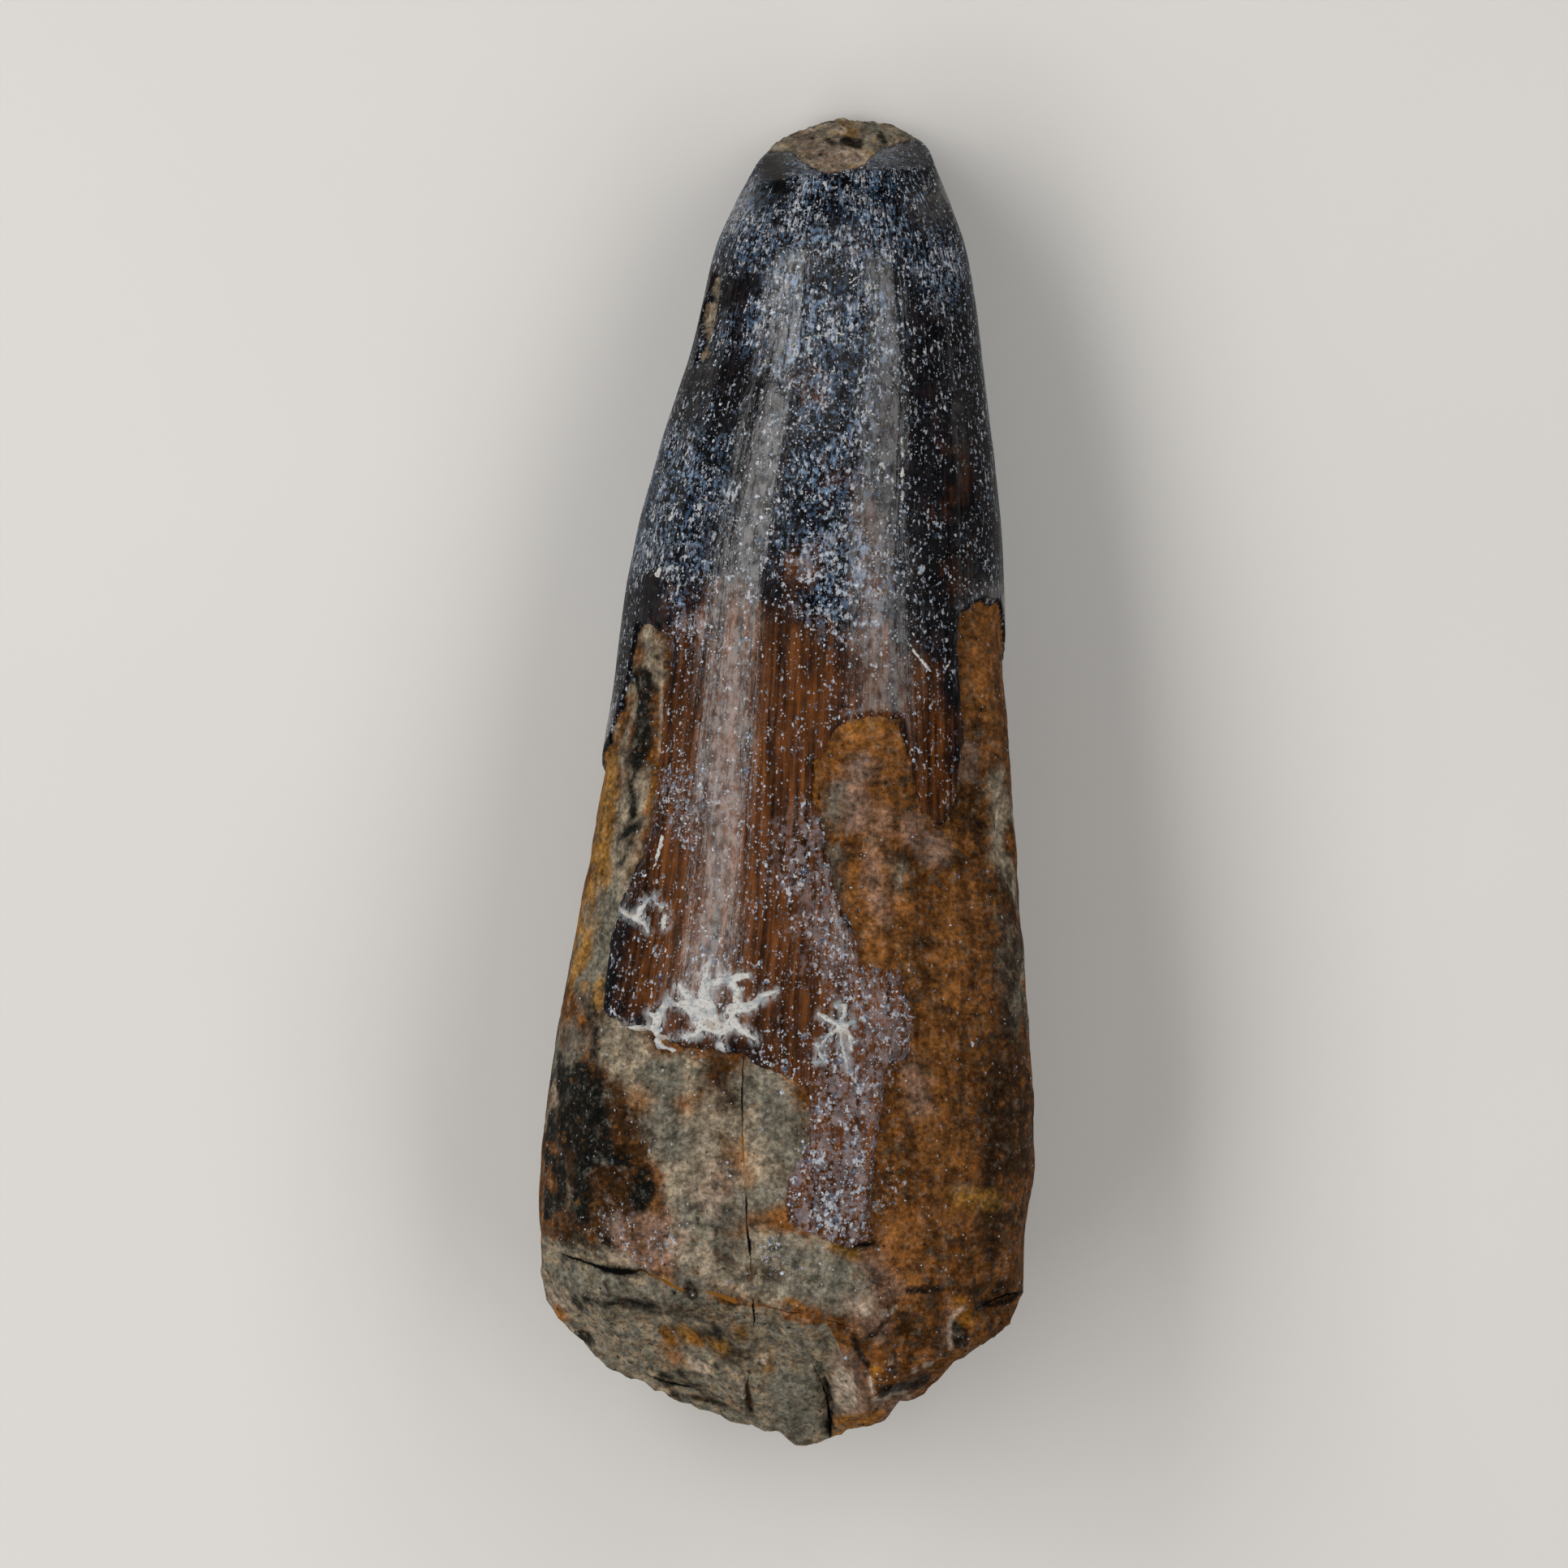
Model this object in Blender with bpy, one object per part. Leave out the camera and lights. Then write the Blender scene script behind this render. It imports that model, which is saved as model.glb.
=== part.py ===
"""A fossil crocodilian tooth lying on its side: one natural piece of stone, snapped off at the root.

Metres, +Z up. The tip points along +Y, the best face looks up, and the worn strip underneath lies on Z = 0.
The sizes below are millimetres. The mesh is worked out in them and brought to metres at the end.
A turn is the angle round the tooth: 0 looks straight up, positive goes towards +X, 180 is the underside.
"""

import math

import bmesh
import bpy
from mathutils import Vector, noise

METRES = 0.001

# Outline seen from above: distance along from the middle of the length, left edge, right edge
OUTLINE = (
    (-34.0, -12.0, 11.6),
    (-23.0, -12.2, 11.9),
    (-18.4, -12.1, 12.35),
    (-11.1, -11.1, 12.05),
    (-3.9, -9.75, 11.65),
    (3.4, -8.8, 11.2),
    (10.6, -7.6, 10.75),
    (16.7, -6.2, 10.4),
    (21.5, -4.6, 9.85),
    (26.3, -3.5, 9.0),
    (28.7, -2.5, 8.25),
    (31.2, -1.2, 7.3),
    (33.4, -0.4, 7.0),
)
DEPTH_TO_WIDTH = 0.87
WORN_OFF_BELOW = 0.4  # the resting strip is this far up into the round section
TIP_LIFTED = 1.3  # the tip curves up off the surface by this much
TIP_LIFTED_FROM = 8.0  # along, where that begins
LENGTHWISE_EDGES = ((-52, 11, 0.16), (68, 13, 0.2), (150, 14, 0.15), (-128, 12, 0.15))  # turn, spread, height

# The broken root: its lowest line seen from above, across and along, and how the break climbs from it
BREAK_LINE = (
    (-12.4, -24.6),
    (-11.2, -26.8),
    (-8.8, -29.2),
    (-3.1, -31.6),
    (1.7, -33.0),
    (4.6, -31.6),
    (8.5, -29.2),
    (10.9, -26.8),
    (12.2, -24.9),
)
BREAK_LINE_HEIGHT = 8.6
CLIMB_UP_LEFT = 0.52
CLIMB_UP_RIGHT = 0.12
CLIMB_DOWN = 0.42
CLIFF_FROM, CLIFF_TO = 1.9, 4.4  # across, where the left climb gives way to the right one
LEDGE = 1.3  # the outer layer ends this far short of the break, on the left of the top
LEDGE_TURNS = (-96, -78, -46, -16)  # it rises, holds and fades between these
LEDGE_STEP_IN, LEDGE_FOOT_IN = 0.05, 0.062  # shares of the radius at the top and the foot of the ledge
# Hollows (positive) and lumps in the break: across, height, radius, depth
BREAK_HOLLOWS = (
    (-6.5, 14.5, 3.6, 0.9),
    (-1.0, 12.0, 3.0, -0.5),
    (0.2, 16.0, 2.4, 0.55),
    (-9.0, 9.0, 2.2, 0.5),
    (5.5, 13.0, 2.6, 0.7),
    (8.6, 9.0, 2.2, 0.6),
    (-3.5, 4.0, 3.4, 0.8),
    (4.5, 3.5, 3.0, 0.7),
)

# The worn tip: a slanting facet whose far side is the highest
TIP_TOP = 33.45
TIP_SLOPE = 0.43
TIP_MIDDLE, TIP_CROWN = 3.6, 0.042  # across; it falls away to both sides by this times the distance squared
TIP_HOLLOWS = ((3.9, 4.7, 1.3, 0.55), (3.2, 6.7, 0.9, -0.25), (1.3, 3.9, 1.3, 0.2), (6.0, 3.5, 1.0, 0.25))
TIP_GRAIN_HEIGHT = 0.12

# Lower edge of the enamel seen from above, across and along, from the left side to the right side
ENAMEL = 0.32
ENAMEL_FADE = 6.0  # away from the enamel's edge the bare dentine comes level with it over this distance
ENAMEL_EDGE = (
    (-8.8, 2.0),
    (-7.7, 5.4),
    (-6.7, 8.0),
    (-5.7, 6.2),
    (-6.1, 0.6),
    (-7.1, -3.9),
    (-8.5, -7.5),
    (-8.9, -11.3),
    (-4.7, -13.0),
    (1.3, -14.9),
    (0.2, -19.5),
    (1.7, -22.4),
    (4.5, -22.6),
    (5.0, -14.0),
    (6.4, -12.0),
    (3.7, -8.9),
    (2.0, -2.3),
    (1.6, 1.0),
    (4.2, 3.4),
    (6.3, 1.4),
    (7.9, -2.0),
    (8.8, 2.6),
    (8.7, 8.2),
    (10.6, 8.7),
)
# The same edge where it runs on round the underside: turn, along
ENAMEL_EDGE_UNDER = ((118, 4.0), (140, -3.5), (165, -1.0), (190, -9.0), (215, -7.0), (240, 1.0), (258, 0.5))

# Chips and hollows in the side: turn, along, half width round, half length, depth
CHIPS = (
    (70, -2.7, 1.6, 3.2, 0.4),
    (-68, 23.3, 1.0, 2.6, 0.35),
    (-66, 16.6, 1.2, 1.4, 0.25),
    (80, -9.6, 1.0, 1.2, 0.3),
    (44, -26.4, 1.3, 1.5, 0.55),
    (66, -25.4, 2.2, 1.5, 0.9),
    (22, -29.2, 1.8, 1.4, 0.5),
    (34, -27.6, 1.5, 1.2, 0.4),
    (104, -25.6, 2.8, 2.6, 0.9),
    (150, -27.6, 3.2, 2.2, 0.7),
    (-150, -27.2, 3.2, 2.4, 0.7),
    (-100, -24.6, 1.8, 1.8, 0.5),
    (128, 9.0, 2.4, 6.5, 0.35),
    (-120, -15.0, 3.0, 5.5, 0.4),
    (-135, 17.0, 1.6, 4.0, 0.3),
)
LUMP_SIZE, LUMP_HEIGHT = 8.0, 0.22
GRIT_SIZE, GRIT_HEIGHT = 2.6, 0.12
GRIT_ON_ENAMEL = 0.3  # share of the grit that the smoother enamel shows
BREAK_GRAIN_SIZE, BREAK_GRAIN_HEIGHT = 4.2, 0.5

AROUND = 80  # points round the tooth, a multiple of 8
ALONG = 49
CROWD_ENDS = 0.35  # 0 spaces the rings evenly, 1 crowds them towards both ends

COLOUR = (0.16, 0.085, 0.045, 1.0)
ROUGHNESS = 0.5


def ease(low, high, value):
    """0 below low, 1 above high, and a smooth step between."""
    share = min(max((value - low) / (high - low), 0.0), 1.0)
    return share * share * (3 - 2 * share)


def straight(points, at):
    """Second number of the points at the first, on straight runs between them."""
    for (x0, y0), (x1, y1) in zip(points, points[1:]):
        if at <= x1:
            break
    return y0 + (y1 - y0) * (at - x0) / (x1 - x0)


def outline_at(along):
    """Left and right edges of the tooth there, on a smooth curve through OUTLINE."""
    last = len(OUTLINE) - 2
    row = next((i for i in range(last) if along <= OUTLINE[i + 1][0]), last)
    before, start, end, after = (OUTLINE[min(max(i, 0), last + 1)] for i in range(row - 1, row + 3))
    span = end[0] - start[0]
    share = (along - start[0]) / span
    edges = []
    for side in (1, 2):
        leaving = (end[side] - before[side]) / (end[0] - before[0]) * span
        arriving = (after[side] - start[side]) / (after[0] - start[0]) * span
        edges.append(
            start[side] * (1 + 2 * share) * (1 - share) ** 2
            + leaving * share * (1 - share) ** 2
            + end[side] * share * share * (3 - 2 * share)
            - arriving * share * share * (1 - share)
        )
    return edges


def section_at(along):
    """Middle across, middle height, half width and half depth of the tooth there."""
    left, right = outline_at(along)
    half_width = (right - left) / 2
    half_depth = half_width * DEPTH_TO_WIDTH
    lifted = TIP_LIFTED * ease(TIP_LIFTED_FROM, OUTLINE[-1][0], along)
    return (left + right) / 2, half_depth - WORN_OFF_BELOW + lifted, half_width, half_depth


def turn_of(across, along):
    """The turn of a point of the upper side that is seen there from above."""
    middle, _, half_width, _ = section_at(along)
    return math.asin(min(max((across - middle) / half_width, -1), 1))


def enamel_border():
    """The enamel's lower edge, once round the tooth, as pairs of turn in radians and along."""
    seen = [(turn_of(across, along), along) for across, along in ENAMEL_EDGE]
    return seen + [(math.radians(turn), along) for turn, along in ENAMEL_EDGE_UNDER]


def beyond_enamel(turn, along, border):
    """How far a point lies outside the enamel, in millimetres; negative inside it."""
    girth = section_at(along)[2]
    nearest, inside = math.inf, True
    for index, (turn_a, along_a) in enumerate(border):
        turn_b, along_b = border[(index + 1) % len(border)]
        run = (turn_b - turn_a + math.pi) % math.tau - math.pi
        off = (turn - turn_a + math.pi) % math.tau - math.pi
        step = Vector((run * girth, along_b - along_a))
        away = Vector((off * girth, along - along_a))
        share = min(max(away.dot(step) / step.length_squared, 0), 1)
        nearest = min(nearest, (away - step * share).length)
        # A line from the point to the tip, which is enamel, changes side at each crossing
        if (off >= 0) != (off - run >= 0) and abs(off) < math.pi / 2:
            inside ^= along_a + (along_b - along_a) * off / run > along
    return -nearest if inside else nearest


def lift_at(turn, along, smooth, border):
    """How far the surface stands out from the smooth round of the tooth."""
    outside = beyond_enamel(turn, along, border)
    bare = ease(-0.25, 0.25, outside)
    lift = -ENAMEL * bare * math.exp(-max(outside, 0) / ENAMEL_FADE)
    lift += LUMP_HEIGHT * noise.noise(smooth / LUMP_SIZE)
    grit = GRIT_HEIGHT * noise.noise(smooth / GRIT_SIZE)
    lift += grit * (GRIT_ON_ENAMEL + (1 - GRIT_ON_ENAMEL) * bare)
    girth = section_at(along)[2]
    for degrees, spread, height in LENGTHWISE_EDGES:
        off = math.remainder(turn - math.radians(degrees), math.tau) / math.radians(spread)
        lift += height * math.exp(-off * off)
    for degrees, centre, half_round, half_long, depth in CHIPS:
        off = math.remainder(turn - math.radians(degrees), math.tau) * girth / half_round
        reach = off * off + ((along - centre) / half_long) ** 2
        lift -= depth * (1 - reach) ** 2 if reach < 1 else 0
    return lift


def side_point(turn, along, border):
    """A point of the tooth's side."""
    middle, height, half_width, half_depth = section_at(along)
    sine, cosine = math.sin(turn), math.cos(turn)
    smooth = Vector((middle + half_width * sine, along, height + half_depth * cosine))
    outward = Vector((sine / half_width, 0, cosine / half_depth)).normalized()
    point = smooth + outward * lift_at(turn, along, smooth, border)
    point.z = max(point.z, 0)
    return point


def hollows_at(hollows, across, height):
    """Depth of the round hollows at a point of an end."""
    depth = 0
    for centre, centre_height, radius, deepest in hollows:
        reach = ((across - centre) ** 2 + (height - centre_height) ** 2) / radius**2
        depth += deepest * (1 - reach) ** 2 if reach < 1 else 0
    return depth


def break_at(across, height):
    """Along, where the broken root ends above a point of the section."""
    low = straight(BREAK_LINE, across)
    rise = height - BREAK_LINE_HEIGHT
    cliff = ease(CLIFF_FROM, CLIFF_TO, across)
    climb = CLIMB_UP_LEFT + (CLIMB_UP_RIGHT - CLIMB_UP_LEFT) * cliff if rise > 0 else -CLIMB_DOWN
    grain = noise.fractal(Vector((across, 0, height)) / BREAK_GRAIN_SIZE, 0.7, 2.1, 3)
    return low + rise * climb + hollows_at(BREAK_HOLLOWS, across, height) + BREAK_GRAIN_HEIGHT * grain


def tip_at(across, height):
    """Along, where the worn tip ends above a point of the section."""
    facet = TIP_TOP - TIP_SLOPE * height - TIP_CROWN * (across - TIP_MIDDLE) ** 2
    grain = noise.noise(Vector((across, TIP_TOP, height)))
    return facet - hollows_at(TIP_HOLLOWS, across, height) + TIP_GRAIN_HEIGHT * grain


def ledge_at(turn):
    """How far the side stops short of the break."""
    rise, hold, fade, gone = (math.radians(degrees) for degrees in LEDGE_TURNS)
    return LEDGE * ease(rise, hold, turn) * (1 - ease(fade, gone, turn))


def rim_of(turn, end_at, start, short_of, border):
    """Along, where the side meets an end: found by stepping between the two a few times."""
    along = start
    for _ in range(8):
        point = side_point(turn, along, border)
        along = end_at(point.x, point.z) + short_of
    return along


def spaced(share):
    """A share of the way along, crowded a little towards both ends."""
    return share + CROWD_ENDS * (0.5 - math.cos(math.pi * share) / 2 - share)


def disc_places(cells):
    """Places on a disc of a square grid of cells: radius share, and angle as a whole number of steps or not."""
    places = {}
    for i in range(cells + 1):
        for j in range(cells + 1):
            a, b = 2 * i / cells - 1, 2 * j / cells - 1
            if a == 0 and b == 0:
                places[i, j] = (0.0, 0.0)
            elif abs(a) > abs(b):
                places[i, j] = (a, cells / 2 * b / a)
            else:
                places[i, j] = (b, cells - cells / 2 * a / b)
    return places


def bridge(mesh, lower, upper):
    """Joins two rings with a band of faces."""
    for k in range(len(lower)):
        after = (k + 1) % len(lower)
        mesh.faces.new((lower[k], lower[after], upper[after], upper[k]))


def close_end(mesh, ring, end_at, short_of):
    """Steps in from a ring and fills it with a disc grid that follows the end's own surface."""
    count = len(ring)
    centre = sum((vertex.co for vertex in ring), Vector()) / count

    def stepped_in(share, raised):
        places = [centre.lerp(vertex.co, 1 - share) for vertex in ring]
        return [mesh.verts.new((p.x, end_at(p.x, p.z) + up, p.z)) for p, up in zip(places, raised)]

    step = stepped_in(LEDGE_STEP_IN, short_of)
    lip = stepped_in(LEDGE_FOOT_IN, [0] * count)
    bridge(mesh, ring, step)
    bridge(mesh, step, lip)
    cells = count // 4
    grid = {}
    for place, (radius, step) in disc_places(cells).items():
        step = step if radius >= 0 else step + count / 2
        low = math.floor(step)
        share = step - low
        edge = lip[low % count].co.lerp(lip[(low + 1) % count].co, share)
        if abs(radius) == 1:
            grid[place] = lip[round(step) % count]
            continue
        across = centre.x + (edge.x - centre.x) * abs(radius)
        height = centre.z + (edge.z - centre.z) * abs(radius)
        grid[place] = mesh.verts.new((across, end_at(across, height), height))
    for i in range(cells):
        for j in range(cells):
            mesh.faces.new((grid[i, j], grid[i + 1, j], grid[i + 1, j + 1], grid[i, j + 1]))


def tooth_mesh():
    """The whole tooth as one closed mesh in metres."""
    border = enamel_border()
    mesh = bmesh.new()
    turns = [math.remainder(math.tau * k / AROUND, math.tau) for k in range(AROUND)]
    ledge = [ledge_at(turn) for turn in turns]
    low_rim = [rim_of(turn, break_at, -27, short, border) for turn, short in zip(turns, ledge)]
    high_rim = [rim_of(turn, tip_at, 31, 0, border) for turn in turns]
    rings = []
    for row in range(ALONG + 1):
        share = spaced(row / ALONG)
        points = (
            side_point(turn, low + (high - low) * share, border)
            for turn, low, high in zip(turns, low_rim, high_rim)
        )
        rings.append([mesh.verts.new(point) for point in points])
    for lower, upper in zip(rings, rings[1:]):
        bridge(mesh, lower, upper)
    close_end(mesh, rings[0], break_at, ledge)
    close_end(mesh, rings[-1], tip_at, [0] * AROUND)
    bmesh.ops.triangulate(mesh, faces=mesh.faces)
    bmesh.ops.recalc_face_normals(mesh, faces=mesh.faces)
    bmesh.ops.scale(mesh, vec=(METRES,) * 3, verts=mesh.verts)
    centre_on_origin(mesh)
    return mesh


def centre_on_origin(mesh):
    """Slides the tooth so that the middle of its box stands over the origin."""
    for axis in (0, 1):
        places = [vertex.co[axis] for vertex in mesh.verts]
        middle = (min(places) + max(places)) / 2
        for vertex in mesh.verts:
            vertex.co[axis] -= middle


def fossil_material():
    """Dark brown fossil enamel and dentine, half glossy."""
    material = bpy.data.materials.new("fossil_tooth")
    material.use_nodes = True
    shader = material.node_tree.nodes["Principled BSDF"]
    shader.inputs["Base Color"].default_value = COLOUR
    shader.inputs["Roughness"].default_value = ROUGHNESS
    shader.inputs["Metallic"].default_value = 0.0
    material.diffuse_color = COLOUR
    return material


def main():
    for old in list(bpy.data.objects):
        bpy.data.objects.remove(old, do_unlink=True)
    mesh = tooth_mesh()
    data = bpy.data.meshes.new("tooth")
    mesh.to_mesh(data)
    mesh.free()
    data.materials.append(fossil_material())
    data.shade_smooth()
    data.set_sharp_from_angle(angle=math.radians(40))
    bpy.context.collection.objects.link(bpy.data.objects.new("tooth", data))


main()
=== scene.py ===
"""The looks of a fossil crocodilian tooth that lies on its side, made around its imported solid.

Blender's lengths are metres. The tooth is worked out in millimetres, as its solid is but finer, and brought
to metres at the end. Along runs from the broken root to the tip, and across from left to right as seen from
above. A turn is the angle round the tooth: 0 looks straight up, positive goes towards +X, 180 is underneath.
"""

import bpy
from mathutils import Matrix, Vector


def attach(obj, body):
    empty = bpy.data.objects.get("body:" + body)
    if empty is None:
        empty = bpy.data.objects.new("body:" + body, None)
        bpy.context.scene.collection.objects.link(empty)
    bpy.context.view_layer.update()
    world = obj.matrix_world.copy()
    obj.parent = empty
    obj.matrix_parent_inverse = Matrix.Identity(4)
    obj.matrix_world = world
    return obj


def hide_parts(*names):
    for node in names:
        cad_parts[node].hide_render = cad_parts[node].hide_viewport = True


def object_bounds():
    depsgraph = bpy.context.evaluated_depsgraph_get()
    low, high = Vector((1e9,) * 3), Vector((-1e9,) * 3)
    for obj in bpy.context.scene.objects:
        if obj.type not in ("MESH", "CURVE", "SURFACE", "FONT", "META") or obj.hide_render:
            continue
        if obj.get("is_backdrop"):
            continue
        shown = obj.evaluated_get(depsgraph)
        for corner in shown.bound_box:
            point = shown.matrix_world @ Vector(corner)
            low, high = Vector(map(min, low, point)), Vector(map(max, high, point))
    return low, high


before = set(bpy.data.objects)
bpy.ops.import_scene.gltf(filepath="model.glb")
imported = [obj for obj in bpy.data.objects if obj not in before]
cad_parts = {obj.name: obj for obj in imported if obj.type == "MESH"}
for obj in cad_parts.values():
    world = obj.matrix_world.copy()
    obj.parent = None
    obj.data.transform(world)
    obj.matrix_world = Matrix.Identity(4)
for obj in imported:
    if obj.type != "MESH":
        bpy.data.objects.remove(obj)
CAD_LOW, CAD_HIGH = (list(corner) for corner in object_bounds())

import math

import bpy
import numpy as np
from mathutils import Euler, Vector, noise

bl_info = {
    "name": "Fossil tooth",
    "version": (1, 0, 0),
    "blender": (4, 5, 0),
    "location": "3D View > Sidebar > Fossil",
    "description": "A fossil crocodilian tooth with worn enamel, bare dentine and mineral grains",
    "category": "Object",
}

MM = 0.001
NODE, BODY, SLOT = "tooth", "root", "fossil_tooth"
SIDE, BROKEN, TIP = 0, 1, 2  # parts of the skin: round the tooth, and its two ends
PLACED = {}  # the tooth's operator leaves here the slide that brings it over the solid, in millimetres

# Outline seen from above: distance along from the middle of the length, left edge, right edge
OUTLINE = np.array(
    (
        (-34.0, -12.0, 11.6),
        (-23.0, -12.2, 11.9),
        (-18.4, -12.1, 12.35),
        (-11.1, -11.1, 12.05),
        (-3.9, -9.75, 11.65),
        (3.4, -8.8, 11.2),
        (10.6, -7.6, 10.75),
        (16.7, -6.2, 10.4),
        (21.5, -4.6, 9.85),
        (26.3, -3.5, 9.0),
        (28.7, -2.5, 8.25),
        (31.2, -1.2, 7.3),
        (33.4, -0.4, 7.0),
    )
)
DEPTH_TO_WIDTH = 0.87
WORN_OFF_BELOW = 0.4  # the resting strip is this far up into the round section
TIP_LIFTED, TIP_LIFTED_FROM = 1.3, 8.0  # how far the tip curves up, and where along that begins
LENGTHWISE_EDGES = ((-52, 11, 0.16), (68, 13, 0.2), (150, 14, 0.15), (-128, 12, 0.15))  # turn, spread, height

# The broken root: its lowest line seen from above, across and along, and how the break climbs from it
BREAK_LINE = np.array(
    (
        (-12.4, -24.6),
        (-11.2, -26.8),
        (-8.8, -29.2),
        (-3.1, -31.6),
        (1.7, -33.0),
        (4.6, -31.6),
        (8.5, -29.2),
        (10.9, -26.8),
        (12.2, -24.9),
    )
)
BREAK_LINE_HEIGHT = 8.6
CLIMB_UP_LEFT, CLIMB_UP_RIGHT, CLIMB_DOWN = 0.52, 0.12, 0.42
CLIFF_FROM, CLIFF_TO = 1.9, 4.4  # across, where the left climb gives way to the right one
LEDGE = 1.55  # the outer layer ends this far short of the break, on the left of the top
LEDGE_TURNS = (-96, -78, -46, -16)  # it rises, holds and fades between these
LEDGE_STEP_IN, LEDGE_FOOT_IN = 0.05, 0.062  # shares of the radius at the top and the foot of the ledge
LEDGE_RINGS = 5
CREVICE = 0.45  # the break runs in under the ledge by this much
CREVICE_WAVES, CREVICE_SHALLOWEST = 9, 0.4  # how its depth comes and goes round the tooth
RIM_STARTS, RIM_STEPS = (-27, 31), 8  # where along the search for the two rims begins, and its steps
BREAK_HOLLOWS = (  # across, height, radius, depth
    (-6.5, 14.5, 3.6, 0.9),
    (-1.0, 12.0, 3.0, -0.5),
    (0.2, 16.0, 2.4, 0.55),
    (-9.0, 9.0, 2.2, 0.5),
    (5.5, 13.0, 2.6, 0.7),
    (8.6, 9.0, 2.2, 0.6),
    (-3.5, 4.0, 3.4, 0.8),
    (4.5, 3.5, 3.0, 0.7),
)
BREAK_GROOVES = (  # half width, depth, then across and height along the groove
    (0.4, 0.55, ((1.7, 17.0), (2.0, 14.0), (2.4, 11.5), (2.1, 9.0))),
    (0.3, 0.45, ((-1.9, 14.0), (-1.7, 11.5), (-1.6, 9.5))),
    (0.35, 0.3, ((-9.5, 12.5), (-6.0, 11.0), (-3.0, 11.5))),
    (0.35, 0.35, ((-5.0, 16.5), (-1.5, 15.0), (1.0, 15.5))),
)
BREAK_GRAIN_SIZE, BREAK_GRAIN_HEIGHT = 4.2, 0.5

# The worn tip
TIP_TOP, TIP_SLOPE = 33.4, 0.35
TIP_MIDDLE, TIP_CROWN = 3.6, 0.042
TIP_HOLLOWS = ((3.9, 4.7, 1.3, 0.55), (3.2, 6.7, 0.9, -0.25), (1.3, 3.9, 1.3, 0.2), (6.0, 3.5, 1.0, 0.25))
TIP_GRAIN_HEIGHT = 0.12
TIP_EDGE = np.array(  # across and along: where the enamel ends as seen from above
    (
        (-2.5, 31.3),
        (-0.8, 31.45),
        (0.4, 31.4),
        (0.65, 31.05),
        (1.4, 30.5),
        (1.95, 30.25),
        (2.7, 30.25),
        (3.3, 30.4),
        (4.0, 30.6),
        (4.2, 30.95),
        (4.7, 31.45),
        (5.4, 31.7),
        (6.2, 32.0),
        (8.0, 32.5),
    )
)

# Lower edge of the enamel seen from above, across and along, from the left side to the right side
ENAMEL_STEP = 0.15  # the enamel thins to nothing over this much on each side of its edge
ENAMEL_FADE = 6.0  # away from the enamel's edge the bare dentine comes level with it over this distance
ENAMEL_EDGE = (
    (-8.8, 2.0), (-8.4, 3.4), (-7.7, 5.4), (-7.3, 7.6), (-6.7, 8.0), (-5.8, 7.2), (-5.7, 6.2), (-6.0, 3.8),
    (-6.1, 0.6), (-6.5, -1.4), (-7.1, -3.9), (-8.1, -5.9), (-8.5, -7.5), (-8.8, -9.9), (-8.9, -11.3),
    (-6.7, -12.3), (-4.7, -13.0), (-2.1, -13.5), (-0.3, -14.3), (1.3, -14.9), (1.3, -17.5), (0.2, -19.5),
    (0.1, -21.5), (1.7, -22.4), (3.4, -22.8), (4.5, -22.6), (4.3, -19.1), (4.9, -15.9), (5.0, -14.0),
    (6.2, -13.5), (6.4, -11.7), (5.7, -9.3), (3.7, -8.9), (3.2, -6.7), (2.2, -4.3), (2.0, -2.3), (1.4, -0.6),
    (1.6, 1.0), (2.8, 2.8), (4.2, 3.4), (5.7, 3.1), (6.3, 1.4), (6.9, -1.4), (7.9, -2.0), (8.6, -1.0),
    (8.8, 2.6), (8.5, 6.6), (8.7, 8.2), (9.6, 8.9), (10.6, 8.7),
)  # fmt: skip
ENAMEL_EDGE_UNDER = ((118, 4.0), (140, -3.5), (165, -1.0), (190, -9.0), (215, -7.0), (240, 1.0), (258, 0.5))
SLIVERS = ((0.2, (-3.5, 24.7), (-3.72, 23.2), (-4.1, 21.2)),)  # bare in the enamel: radius, across and along
SLIVER_TURN = 82  # degrees of turn past which a sliver closes
SLIVER_WANDER = (1.3, 0.3)  # size and reach of how its edge wanders
RAGGED_EDGE = ((1.2, 0.22), (0.45, 0.13))  # size and reach of how the enamel's edge wanders

CHIPS = (  # turn, along, half width round, half length, depth
    (70, -2.7, 1.6, 3.2, 0.4),
    (-68, 23.3, 1.0, 2.6, 0.35),
    (-66, 16.6, 1.2, 1.4, 0.25),
    (80, -9.6, 1.0, 1.2, 0.3),
    (44, -26.4, 1.3, 1.5, 0.55),
    (66, -25.4, 2.2, 1.5, 0.9),
    (22, -29.2, 1.8, 1.4, 0.5),
    (34, -27.6, 1.5, 1.2, 0.4),
    (104, -25.6, 2.8, 2.6, 0.9),
    (150, -27.6, 3.2, 2.2, 0.7),
    (-150, -27.2, 3.2, 2.4, 0.7),
    (-100, -24.6, 1.8, 1.8, 0.5),
    (128, 9.0, 2.4, 6.5, 0.35),
    (-120, -15.0, 3.0, 5.5, 0.4),
    (-135, 17.0, 1.6, 4.0, 0.3),
)
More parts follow.
